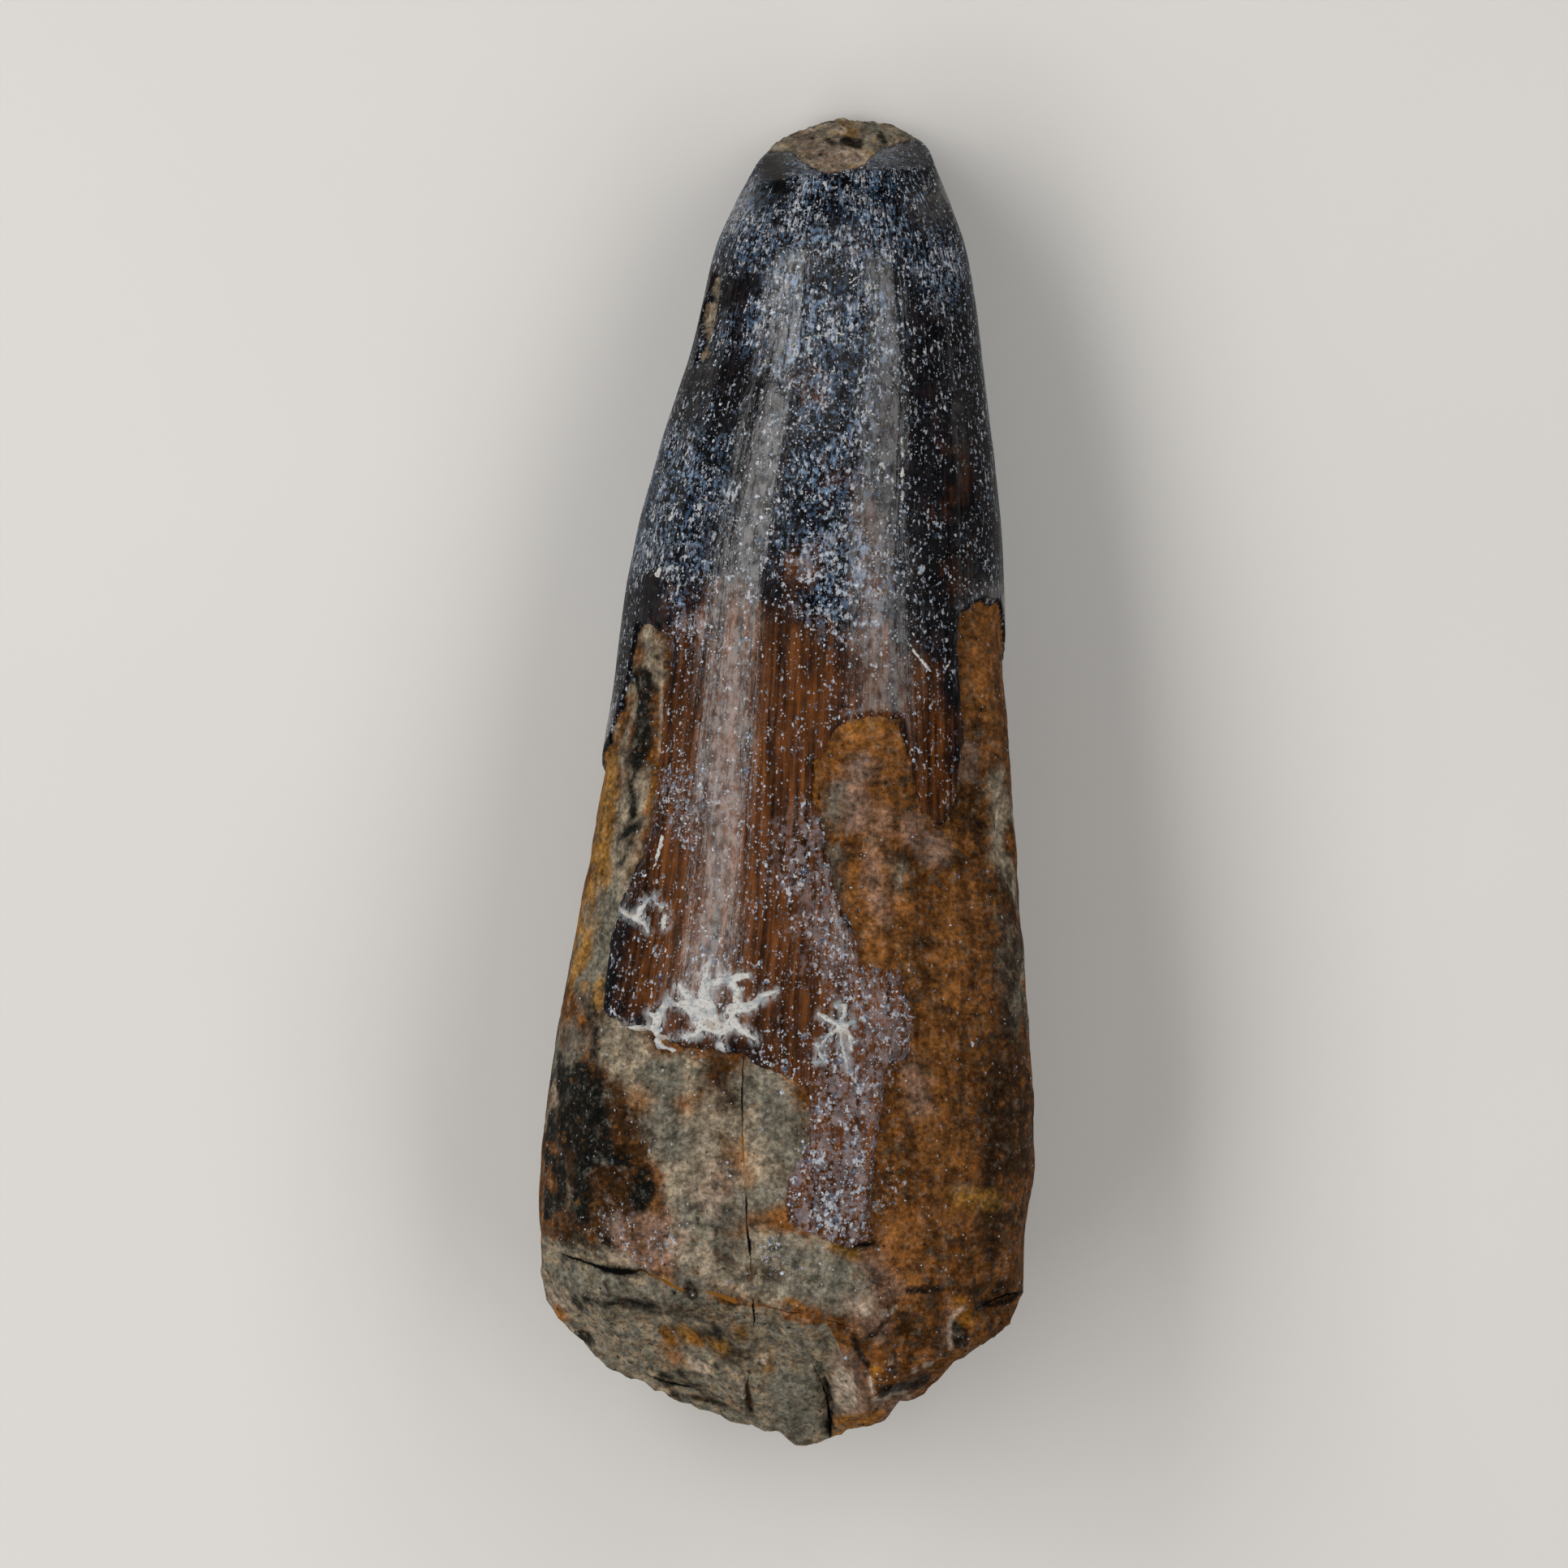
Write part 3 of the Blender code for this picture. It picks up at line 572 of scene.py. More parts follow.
# Fine lines: whether each runs along the tooth or across it, then for each place down the line its offset
# to the side, its half width (below 0 where it is closed) and 1 where it is gold instead of dark. The dark
# is painted shade in the crack, the crevices and under the ridges; the gold is the lines' own colour
FINE_LINES = (
    ("along", (  # the crack
        (-31.4, -1.66, -0.05, 0.0), (-30.8, -1.73, 0.03, 0.3), (-29.8, -1.83, 0.05, 0.2),
        (-29.0, -1.70, -0.03, 0.0), (-26.9, -1.50, -0.02, 0.0), (-26.4, -1.48, 0.05, 0.0),
        (-25.6, -1.52, 0.035, 0.0), (-25.2, -1.52, -0.02, 0.0), (-24.3, -1.58, 0.02, 0.6),
        (-23.3, -1.64, 0.01, 0.0), (-22.95, -1.70, 0.07, 0.0), (-22.2, -1.76, 0.05, 0.0),
        (-21.8, -1.80, 0.01, 0.0), (-20.6, -1.84, 0.045, 0.0), (-20.1, -1.90, 0.0, 0.5),
        (-19.2, -1.96, -0.01, 1.0), (-18.7, -1.98, 0.03, 1.0), (-17.6, -2.02, 0.06, 1.0),
        (-17.0, -2.06, 0.01, 0.2), (-15.8, -2.08, 0.04, 0.0), (-14.4, -2.02, 0.025, 0.0),
        (-13.3, -1.96, 0.00, 0.0),
    )),
    ("across", (  # the crevice under the ledge
        (-11.4, -23.2, -0.05, 0.0), (-10.6, -23.45, 0.05, 0.0), (-9.7, -23.7, 0.05, 0.0),
        (-8.9, -23.98, 0.1, 0.0), (-8.1, -24.14, 0.13, 0.0), (-7.4, -24.08, 0.07, 0.0),
        (-6.9, -24.02, 0.05, 0.3), (-6.4, -24.28, 0.05, 0.8), (-5.5, -24.74, 0.09, 1.0),
        (-4.96, -24.98, 0.06, 0.9), (-4.7, -25.0, -0.04, 0.5), (-4.1, -25.0, -0.04, 0.8),
        (-3.8, -25.05, 0.03, 1.0), (-3.1, -25.25, 0.08, 0.9), (-2.4, -25.5, 0.13, 1.0),
        (-2.2, -25.6, -0.03, 0.8), (-1.2, -25.7, -0.01, 0.1), (0.4, -26.05, 0.015, 0.0),
        (1.6, -26.3, -0.02, 0.0), (2.6, -26.6, 0.02, 0.0), (3.7, -26.85, -0.02, 0.0),
        (4.2, -27.1, -0.05, 0.0),
    )),
    ("across", (  # the ridge low on the break
        (-7.6, -29.1, -0.06, 0.0), (-6.5, -29.45, 0.02, 0.0), (-5.6, -29.8, 0.06, 0.0),
        (-4.6, -29.95, 0.02, 0.0), (-3.9, -30.2, -0.03, 0.0), (-3.2, -30.45, 0.02, 0.0),
        (-2.6, -30.8, -0.05, 0.0),
    )),
    ("along", (  # the fold at the corner of the break
        (-32.7, 2.33, 0.02, 0.0), (-31.8, 2.28, 0.07, 0.0), (-30.8, 2.2, 0.05, 0.0), (-29.8, 1.95, 0.02, 0.0),
        (-28.8, 1.45, 0.01, 0.0), (-28.2, 1.3, -0.05, 0.0),
    )),
    ("across", (  # seams on the right
        (6.0, -25.0, -0.05, 0.0), (6.6, -25.0, -0.005, 0.0), (7.2, -24.96, -0.01, 0.0),
        (7.8, -25.0, -0.05, 0.0), (9.2, -26.1, -0.05, 0.0), (9.6, -25.92, 0.02, 0.0),
        (10.9, -25.36, 0.06, 0.0), (12.0, -25.15, 0.02, 0.0),
    )),
    ("across", (  # under the enamel's lowest lobe, and across the rusty side
        (3.0, -22.8, -0.05, 0.0), (3.3, -22.78, 0.02, 0.0), (4.2, -22.74, 0.03, 0.0),
        (4.6, -22.7, -0.05, 0.0), (7.8, -11.3, -0.04, 0.0), (8.1, -11.32, -0.01, 0.0),
        (9.0, -11.45, 0.0, 0.0), (10.4, -11.4, -0.01, 0.0), (10.9, -11.35, -0.03, 0.0),
    )),
)  # fmt: skip

# The white crust: radius at the start and the end, then across and along
CRUST_STROKES = (
    (0.06, 0.13, (-8.02, -6.27), (-7.58, -6.55), (-7.22, -6.67)),
    (0.12, 0.07, (-7.22, -6.67), (-6.89, -6.07), (-6.69, -5.75), (-6.45, -5.67), (-6.25, -5.95),
     (-5.97, -6.15)),
    (0.17, 0.07, (-7.22, -6.67), (-6.89, -6.91), (-6.69, -7.36)),
    (0.14, 0.11, (-5.85, -6.67), (-5.88, -7.12)),
    (0.06, 0.16, (-7.98, -12.02), (-7.38, -12.14), (-6.65, -12.06), (-6.25, -12.14)),
    (0.2, 0.13, (-6.25, -12.14), (-6.09, -11.54), (-5.85, -11.05), (-5.57, -10.69),
     (-5.25, -10.93), (-4.96, -10.85)),
    (0.08, 0.12, (-6.55, -11.28), (-6.2, -11.6)),
    (0.16, 0.06, (-6.25, -12.14), (-6.09, -12.54), (-5.49, -12.66)),
    (0.17, 0.08, (-6.25, -12.14), (-6.25, -12.98), (-5.49, -13.15)),
    (0.13, 0.26, (-5.13, -10.01), (-4.6, -10.6), (-4.1, -11.0)),
    (0.07, 0.3, (-3.76, -8.88), (-3.84, -9.65), (-3.9, -10.5)),
    (0.3, 0.42, (-3.9, -10.5), (-3.7, -11.2), (-3.5, -11.9)),
    (0.22, 0.3, (-4.9, -10.9), (-4.4, -11.3), (-4.0, -12.0)),
    (0.2, 0.16, (-3.9, -10.1), (-3.2, -9.75), (-2.71, -9.69), (-1.79, -9.45)),
    (0.2, 0.2, (-2.71, -9.69), (-2.3, -10.3), (-2.23, -11.05)),
    (0.3, 0.06, (-2.5, -11.2), (-1.51, -10.93), (-0.95, -10.45), (-0.3, -10.3)),
    (0.26, 0.1, (-2.67, -11.5), (-2.11, -12.14), (-1.43, -12.6)),
    (0.36, 0.22, (-3.5, -11.9), (-3.04, -12.18), (-2.5, -11.9)),
    (0.22, 0.1, (-4.0, -12.0), (-4.3, -12.4), (-4.9, -12.5)),
    (0.14, 0.1, (-3.1, -12.95), (-2.98, -13.2)),
    (0.14, 0.1, (1.75, -11.42), (2.27, -11.75), (2.83, -11.98)),
    (0.09, 0.14, (2.67, -10.93), (2.99, -11.01), (2.95, -11.42), (2.83, -11.98)),
    (0.2, 0.08, (2.83, -11.98), (3.44, -11.78)),
    (0.18, 0.05, (2.83, -11.98), (3.24, -12.42), (3.3, -13.1)),
    (0.1, 0.03, (2.83, -11.98), (2.8, -12.82), (3.12, -14.03)),
    (0.1, 0.06, (2.83, -11.98), (2.19, -12.46), (1.67, -13.06), (1.91, -13.67), (1.35, -13.79)),
)
# Light scratches, laid down in the same way
SCRATCHES = (
    (0.0, 0.07, (5.80, 17.4), (5.84, 16.2), (5.86, 15.2)),
    (0.06, 0.0, (5.86, 14.9), (5.88, 14.2), (5.82, 13.6)),
    (0.0, 0.08, (-5.5, 12.3), (-5.7, 11.6), (-5.9, 10.9), (-6.1, 10.3)),
    (0.0, 0.05, (-5.2, 14.6), (-5.3, 13.6), (-5.5, 13.0)),
    (0.02, 0.045, (6.09, 6.99), (6.5, 6.35), (6.77, 5.99), (7.3, 5.3)),
    (0.045, 0.0, (7.5, 5.25), (7.9, 5.6), (8.2, 6.1)),
    (0.0, 0.05, (0.2, 21.5), (1.0, 21.95), (1.5, 22.07)),
    (0.05, 0.02, (1.7, 22.1), (2.55, 22.25), (3.44, 22.0)),
    (0.0, 0.06, (2.7, 24.3), (3.3, 24.75), (3.9, 25.2)),
    (0.0, 0.05, (2.8, 25.7), (3.5, 26.3)),
    (0.05, 0.0, (2.0, 29.7), (2.3, 28.9)),
    (0.0, 0.11, (-6.5, -4.5), (-6.25, -3.9), (-6.1, -3.3), (-5.95, -2.7)),
)
CRUST_HOLES = ((-2.79, -11.54, 0.12), (-2.71, -10.75, 0.16), (-4.92, -11.74, 0.2), (-3.32, -10.2, 0.12))
CRUST_STEP = 0.06
CRUST_THICK, CRUST_SUNK = 0.09, 0.06
CRUST_ROUGH = ((0.5, 0.1), (0.16, 0.07))  # size and reach of its ragged edge
CRUST_MARGIN, CRUST_NEAR = 0.5, 0.35  # how far round the strokes its grid reaches, and its ragged edge
CRUST_LUMPS = (0.22, 0.5)  # size, and share of the thickness
CRUST_RISE, CRUST_LIP = 1.2, 0.02  # how steeply it rises from its edge, and its thickness there

# The raised grains: their smallest and largest proportions, and how thickly they lie
GRAIN_SHAPES = ((0.45, 0.7, 0.3), (1.1, 1.7, 0.6))
SHAPE_SEED, SHADE_SEED = 1, 2
GRAIN_PATCHES = 2.4
GRAINS_OFF_BLOOM, GRAINS_ON_BARE = 0.25, 0.05

# The finish
ENAMEL_ROUGHNESS, ENAMEL_IOR = 0.14, 1.6
DULL_SPECULAR = 0.025
SHARP_ANGLE = 55  # degrees past which an edge isn't shaded smooth

# The studio, in metres; the camera stays inside the floor's curve from every side
FLOOR_FLAT, FLOOR_COVE = 2.4, 0.8
FLOOR_SIDES, COVE_STEPS = 96, 14
WARM_LIGHT = (1.0, 0.975, 0.95)
ROOM_COLOUR = (1.0, 0.99, 0.97)
STRIP_AWAY, STRIP_WIDE, STRIP_LONG = 0.4, 0.18, 0.72
STRIPS = ((-41, 1.08), (35, 0.62))  # turn, and share of the power
END_AWAY, END_SIZE = 0.5, 0.3
END_TURNS = (-48, 48)
CAMERA_LENS, CAMERA_SENSOR = 600.0, 36.0
CAMERA_NEAR, CAMERA_FAR = 0.01, 10.0
FRAME_PIXELS, PIXEL = 1932, 0.0402  # the photograph's width, and a pixel in millimetres at the tooth
FRAME_WIDTH = FRAME_PIXELS * PIXEL * MM
FRAME_MIDDLE = (0.0, -0.08 * MM)


class ToothShape(bpy.types.PropertyGroup):
    """Sizes of the tooth's relief"""

    enamel: bpy.props.FloatProperty(
        name="Enamel", description="Thickness of the enamel left on the dentine",
        default=0.32 * MM, unit="LENGTH", precision=5,
    )  # fmt: skip
    relief: bpy.props.FloatProperty(
        name="Fine relief", description="Height of the wrinkles, pits and crumbs against the usual one",
        default=1.0, subtype="FACTOR", min=0.0, max=3.0,
    )  # fmt: skip


def colour_property(name, description, default):
    """A colour of the panel."""
    return bpy.props.FloatVectorProperty(
        name=name, description=description, default=default, size=3, subtype="COLOR", min=0, max=1
    )


class ToothColours(bpy.types.PropertyGroup):
    """Colours of the enamel, the dentine, their marks and the crust"""

    black: colour_property("Black enamel", "The dark enamel of the crown", (0.002, 0.002, 0.003))
    amber: colour_property("Amber enamel", "The thinner red-brown enamel lower down", (0.088, 0.029, 0.007))
    bloom: colour_property("Bloom", "The thin blue-white film on the enamel", (0.044, 0.097, 0.178))
    speck: colour_property("Specks", "The small light specks on the enamel", (0.55, 0.62, 0.72))
    rust: colour_property("Rust dentine", "The orange-brown bare dentine", (0.100, 0.034, 0.005))
    tan: colour_property("Tan dentine", "The tan and grey bare dentine", (0.215, 0.18, 0.128))
    ochre: colour_property("Ochre", "The yellow-brown patches", (0.22, 0.11, 0.022))
    pink: colour_property("Pink", "The pale pink fresh faces", (0.23, 0.155, 0.12))
    orange: colour_property("Orange dentine", "The brightest rust", (0.195, 0.078, 0.020))
    # Dark brown patches, and painted shade: towards the right edge, along a crack across the rusty side and
    # in a band under the break's top
    umber: colour_property("Umber", "The dark brown patches", (0.022, 0.010, 0.003))
    slate: colour_property("Slate", "The cool grey patches", (0.118, 0.116, 0.092))
    # Painted shadow: the dark of the crevices, grooves and pits of the break and the tip
    seam: colour_property("Seams", "The dark lines and pits", (0.006, 0.005, 0.004))
    vein: colour_property("Veins", "The gold-brown lines", (0.21, 0.085, 0.012))
    pale: colour_property("Pale rims", "The light rims of chips and pits", (0.36, 0.29, 0.22))
    # Real black stains, and painted shadow in crevices and pits and in the dark of the fine lines
    stain: colour_property("Stain", "The black mineral stains", (0.004, 0.005, 0.004))
    crust: colour_property("Crust", "The white mineral crust", (0.50, 0.50, 0.48))


class GrainSettings(bpy.types.PropertyGroup):
    """How thickly the raised grains lie, and how large they are"""

    density: bpy.props.FloatProperty(
        name="Grains per square millimetre", description="How many raised grains lie where they are thickest",
        default=9.0, min=0.0, max=20.0,
    )  # fmt: skip
    smallest: bpy.props.FloatProperty(
        name="Smallest grain", description="Width of the smallest grain",
        default=0.045 * MM, unit="LENGTH", precision=5,
    )  # fmt: skip
    largest: bpy.props.FloatProperty(
        name="Largest grain", description="Width of the largest grain",
        default=0.125 * MM, unit="LENGTH", precision=5,
    )  # fmt: skip
    seed: bpy.props.IntProperty(name="Seed", description="Changes where the grains lie", default=7)


class StudioSettings(bpy.types.PropertyGroup):
    """The floor's colour and the power of the lights"""

    floor: colour_property("Floor", "Colour of the floor", (0.66, 0.655, 0.64))
    key: bpy.props.FloatProperty(
        name="Strip light", description="Power of each of the two strip lights in watts",
        default=1.62, min=0.0, subtype="POWER",
    )  # fmt: skip
    fill: bpy.props.FloatProperty(
        name="End light", description="Power of the light over each end in watts",
        default=0.15, min=0.0, subtype="POWER",
    )  # fmt: skip
    sky: bpy.props.FloatProperty(
        name="Room light", description="Strength of the even light from all round", default=0.07, min=0.0
    )


def ease(low, high, value):
    """0 below low, 1 above high, and a smooth step between."""
    share = np.clip((value - low) / (high - low), 0, 1)
    return share * share * (3 - 2 * share)


def wrapped_angle(angle):
    """An angle brought to between half a turn back and half a turn on."""
    return (angle + math.pi) % math.tau - math.pi


def rough(places, size, octaves=1):
    """Smooth random heights, mostly within -1 to 1, at points in millimetres."""
    spots = (places / size).tolist()
    if octaves == 1:
        return np.array([noise.noise(spot) for spot in spots])
    return np.array([noise.fractal(spot, 0.7, 2.1, octaves) for spot in spots])


def outline_at(along):
    """Left and right edges of the tooth there, on a smooth curve through OUTLINE."""
    last = len(OUTLINE) - 2
    row = np.clip(np.searchsorted(OUTLINE[1:, 0], along), 0, last)
    before, start = OUTLINE[np.maximum(row - 1, 0)], OUTLINE[row]
    end, after = OUTLINE[row + 1], OUTLINE[np.minimum(row + 2, last + 1)]
    span = end[:, 0] - start[:, 0]
    share = (along - start[:, 0]) / span
    edges = []
    for side in (1, 2):
        leaving = (end[:, side] - before[:, side]) / (end[:, 0] - before[:, 0]) * span
        arriving = (after[:, side] - start[:, side]) / (after[:, 0] - start[:, 0]) * span
        edges.append(
            start[:, side] * (1 + 2 * share) * (1 - share) ** 2
            + leaving * share * (1 - share) ** 2
            + end[:, side] * share * share * (3 - 2 * share)
            - arriving * share * share * (1 - share)
        )
    return edges


def section_at(along):
    """Middle across, middle height, half width and half depth of the tooth there."""
    left, right = outline_at(along)
    half_width = (right - left) / 2
    half_depth = half_width * DEPTH_TO_WIDTH
    lifted = TIP_LIFTED * ease(TIP_LIFTED_FROM, OUTLINE[-1, 0], along)
    return (left + right) / 2, half_depth - WORN_OFF_BELOW + lifted, half_width, half_depth


def turn_of(across, along):
    """The turn of points of the upper side that are seen there from above."""
    middle, _, half_width, _ = section_at(along)
    return np.arcsin(np.clip((across - middle) / half_width, -1, 1))


def seen_path(points):
    """A path given across and along, as pairs of turn and along."""
    across, along = np.array(points, float).T
    return list(zip(turn_of(across, along), along))


def hidden_path(points):
    """A path given as turns in degrees and along, as pairs of turn and along."""
    return [(math.radians(turn), along) for turn, along in points]


def runs_of(turn, along, path):
    """For each run of a path over the side: the way along it and from its start to points, in millimetres."""
    girth = section_at(along)[2]
    for (turn_a, along_a), (turn_b, along_b) in zip(path, path[1:]):
        step = wrapped_angle(turn_b - turn_a) * girth, along_b - along_a
        away = wrapped_angle(turn - turn_a) * girth, along - along_a
        yield step, away


def share_of_run(step, away):
    """How far along a run its nearest point to each point lies, and the distance to it."""
    length = step[0] * step[0] + step[1] * step[1] + 1e-12
    share = np.clip((away[0] * step[0] + away[1] * step[1]) / length, 0, 1)
    return share, np.hypot(away[0] - step[0] * share, away[1] - step[1] * share)


def beyond_enamel(turn, along):
    """How far points lie outside the enamel, in millimetres; negative inside it."""
    border = seen_path(ENAMEL_EDGE) + hidden_path(ENAMEL_EDGE_UNDER)
    nearest = np.full(len(turn), np.inf)
    inside = np.ones(len(turn), bool)
    girth = section_at(along)[2]
    for step, away in runs_of(turn, along, border + border[:1]):
        nearest = np.minimum(nearest, share_of_run(step, away)[1])
        # A line from the point to the tip, which is enamel, changes side at each crossing
        crossed = ((away[0] >= 0) != (away[0] - step[0] >= 0)) & (np.abs(away[0]) < girth * math.pi / 2)
        width = np.where(np.abs(step[0]) < 1e-9, 1e-9, step[0])
        inside ^= crossed & (step[1] * away[0] / width > away[1])
    return np.where(inside, -nearest, nearest)


def coarse_lift(turn, along, smooth, outside, enamel):
    """How far the solid's surface stands out from the smooth round of the tooth."""
    bare = ease(-ENAMEL_STEP, ENAMEL_STEP, outside)
    lift = -enamel * bare * np.exp(-np.maximum(outside, 0) / ENAMEL_FADE)
    lift += LUMP_HEIGHT * rough(smooth, LUMP_SIZE)
    lift += GRIT_HEIGHT * rough(smooth, GRIT_SIZE) * (GRIT_ON_ENAMEL + (1 - GRIT_ON_ENAMEL) * bare)
    girth = section_at(along)[2]
    for degrees, spread, height in LENGTHWISE_EDGES:
        off = wrapped_angle(turn - math.radians(degrees)) / math.radians(spread)
        lift += height * np.exp(-off * off)
    for degrees, centre, half_round, half_long, depth in CHIPS:
        off = wrapped_angle(turn - math.radians(degrees)) * girth / half_round
        reach = off * off + ((along - centre) / half_long) ** 2
        lift -= depth * np.maximum(1 - reach, 0) ** 2
    return lift


def wrapped_places(turn, along, share=1.0):
    """Points on a cylinder round the tooth, on which lengthwise patterns run towards the tip."""
    radius = WRAP_RADIUS * share
    return np.column_stack((radius * np.sin(turn), along, radius * np.cos(turn)))


def fine_lift(turn, along, smooth, outside):
    """Flutes and wrinkles of the enamel, and pits of the bare dentine."""
    bare = ease(-FINE_STEP, FINE_STEP, outside)
    lengthwise = wrapped_places(turn, along) * (1, WRINKLE_STRETCH, 1)
    lift = FLUTES[1] * rough(lengthwise, FLUTES[0]) * (1 - FLUTES_WORN * bare)
    lift += WRINKLES[1] * rough(lengthwise, WRINKLES[0], 2) * (1 - WRINKLES_WORN * bare)
    pits = np.minimum(rough(smooth, DENTINE_PITS[0], 3), PITS_TOP)
    lift += DENTINE_PITS[1] * pits * (PITS_ON_ENAMEL + (1 - PITS_ON_ENAMEL) * bare)
    return lift


def side_places(turn, along, shape):
    """Points of the tooth's side, the way out from each, and how far beyond the enamel they are."""
    middle, height, half_width, half_depth = section_at(along)
    sine, cosine = np.sin(turn), np.cos(turn)
    smooth = np.column_stack((middle + half_width * sine, along, height + half_depth * cosine))
    outward = np.column_stack((sine / half_width, np.zeros(len(turn)), cosine / half_depth))
    outward /= np.linalg.norm(outward, axis=1)[:, None]
    outside = beyond_enamel(turn, along)
    for radius, *path in SLIVERS:
        sliver = radius - distance_to_path(smooth[:, 0], along, path)
        sliver -= half_width * np.maximum(np.abs(turn) - math.radians(SLIVER_TURN), 0)
        sliver += SLIVER_WANDER[1] * rough(smooth, SLIVER_WANDER[0], 2)
        outside = np.maximum(outside, sliver)
    for size, reach in RAGGED_EDGE:
        outside = outside + reach * rough(smooth, size)
    lift = coarse_lift(turn, along, smooth, outside, shape.enamel / MM)
    lift += shape.relief * fine_lift(turn, along, smooth, outside)
    for across, centre, half_wide, half_long, depth in FINE_CHIPS:
        reach = ((smooth[:, 0] - across) / half_wide) ** 2 + ((along - centre) / half_long) ** 2
        lift -= depth * np.maximum(1 - reach, 0) ** 2 * (cosine > 0)
    places = smooth + outward * lift[:, None]
    places[:, 2] = np.maximum(places[:, 2], 0)
    return places, outward, outside


def hollows_at(hollows, across, height):
    """Depth of the round hollows at points of an end."""
    depth = 0
    for centre, centre_height, radius, deepest in hollows:
        reach = ((across - centre) ** 2 + (height - centre_height) ** 2) / radius**2
        depth = depth + deepest * np.maximum(1 - reach, 0) ** 2
    return depth


def distance_to_path(across, other, path):
    """How far flat points are from a path: across and along from above, or across and height on an end."""
    nearest = np.full(len(across), np.inf)
    for (across_a, other_a), (across_b, other_b) in zip(path, path[1:]):
        step = across_b - across_a, other_b - other_a
        away = across - across_a, other - other_a
        nearest = np.minimum(nearest, share_of_run(step, away)[1])
    return nearest


def break_at(across, height, relief=0.0):
    """Along, where the broken root ends above points of the section."""
    low = np.interp(across, BREAK_LINE[:, 0], BREAK_LINE[:, 1])
    rise = height - BREAK_LINE_HEIGHT
    cliff = ease(CLIFF_FROM, CLIFF_TO, across)
    up = CLIMB_UP_LEFT + (CLIMB_UP_RIGHT - CLIMB_UP_LEFT) * cliff
    flat = np.column_stack((across, np.zeros(len(across)), height))
    ends = low + rise * np.where(rise > 0, up, -CLIMB_DOWN) + hollows_at(BREAK_HOLLOWS, across, height)
    ends += BREAK_GRAIN_HEIGHT * rough(flat, BREAK_GRAIN_SIZE, 3)
    if relief:
        ends += relief * BREAK_CRUMBS[1] * rough(flat * (1, 1, STEEP_STRETCH), BREAK_CRUMBS[0], 4)
        for half_width, depth, path in BREAK_GROOVES:
            ends += depth * ease(half_width, 0, distance_to_path(across, height, path))
    return ends


def tip_at(across, height, relief=0.0):
    """Along, where the worn tip ends above points of the section."""
    facet = TIP_TOP - TIP_SLOPE * height - TIP_CROWN * (across - TIP_MIDDLE) ** 2
    flat = np.column_stack((across, np.full(len(across), TIP_TOP), height))
    worn = ease(-0.3, 0.2, facet - np.interp(across, TIP_EDGE[:, 0], TIP_EDGE[:, 1]))
    bare = TIP_CRUMBS_ON_ENAMEL + (1 - TIP_CRUMBS_ON_ENAMEL) * worn
    ends = facet - hollows_at(TIP_HOLLOWS, across, height) + TIP_GRAIN_HEIGHT * bare * rough(flat, 1.0)
    return ends + relief * bare * TIP_CRUMBS[1] * rough(flat * (1, 1, STEEP_STRETCH), TIP_CRUMBS[0], 4)


def ledge_at(turn):
    """How far the side stops short of the break."""
    rise, hold, fade, gone = np.radians(LEDGE_TURNS)
    return LEDGE * ease(rise, hold, turn) * (1 - ease(fade, gone, turn))


def rim_of(turn, end_at, start, short_of, shape):
    """Along, where the side meets an end: found by stepping between the two a few times."""
    along = np.full(len(turn), float(start))
    for _ in range(RIM_STEPS):
        places = side_places(turn, along, shape)[0]
        along = end_at(places[:, 0], places[:, 2]) + short_of
    return along


def disc_places(cells):
    """Places on a disc of a square grid: shares of the radius, and angles in steps of the rim."""
    a, b = np.meshgrid(np.linspace(-1, 1, cells + 1), np.linspace(-1, 1, cells + 1), indexing="ij")
    wide = np.abs(a) > np.abs(b)
    radius = np.where(wide, a, b)
    safe = np.where(radius == 0, 1, radius)
    step = np.where(wide, cells / 2 * b / safe, cells - cells / 2 * a / safe)
    step = np.where(radius < 0, step + 2 * cells, step)
    return np.abs(radius), np.where(radius == 0, 0, step) % (4 * cells)


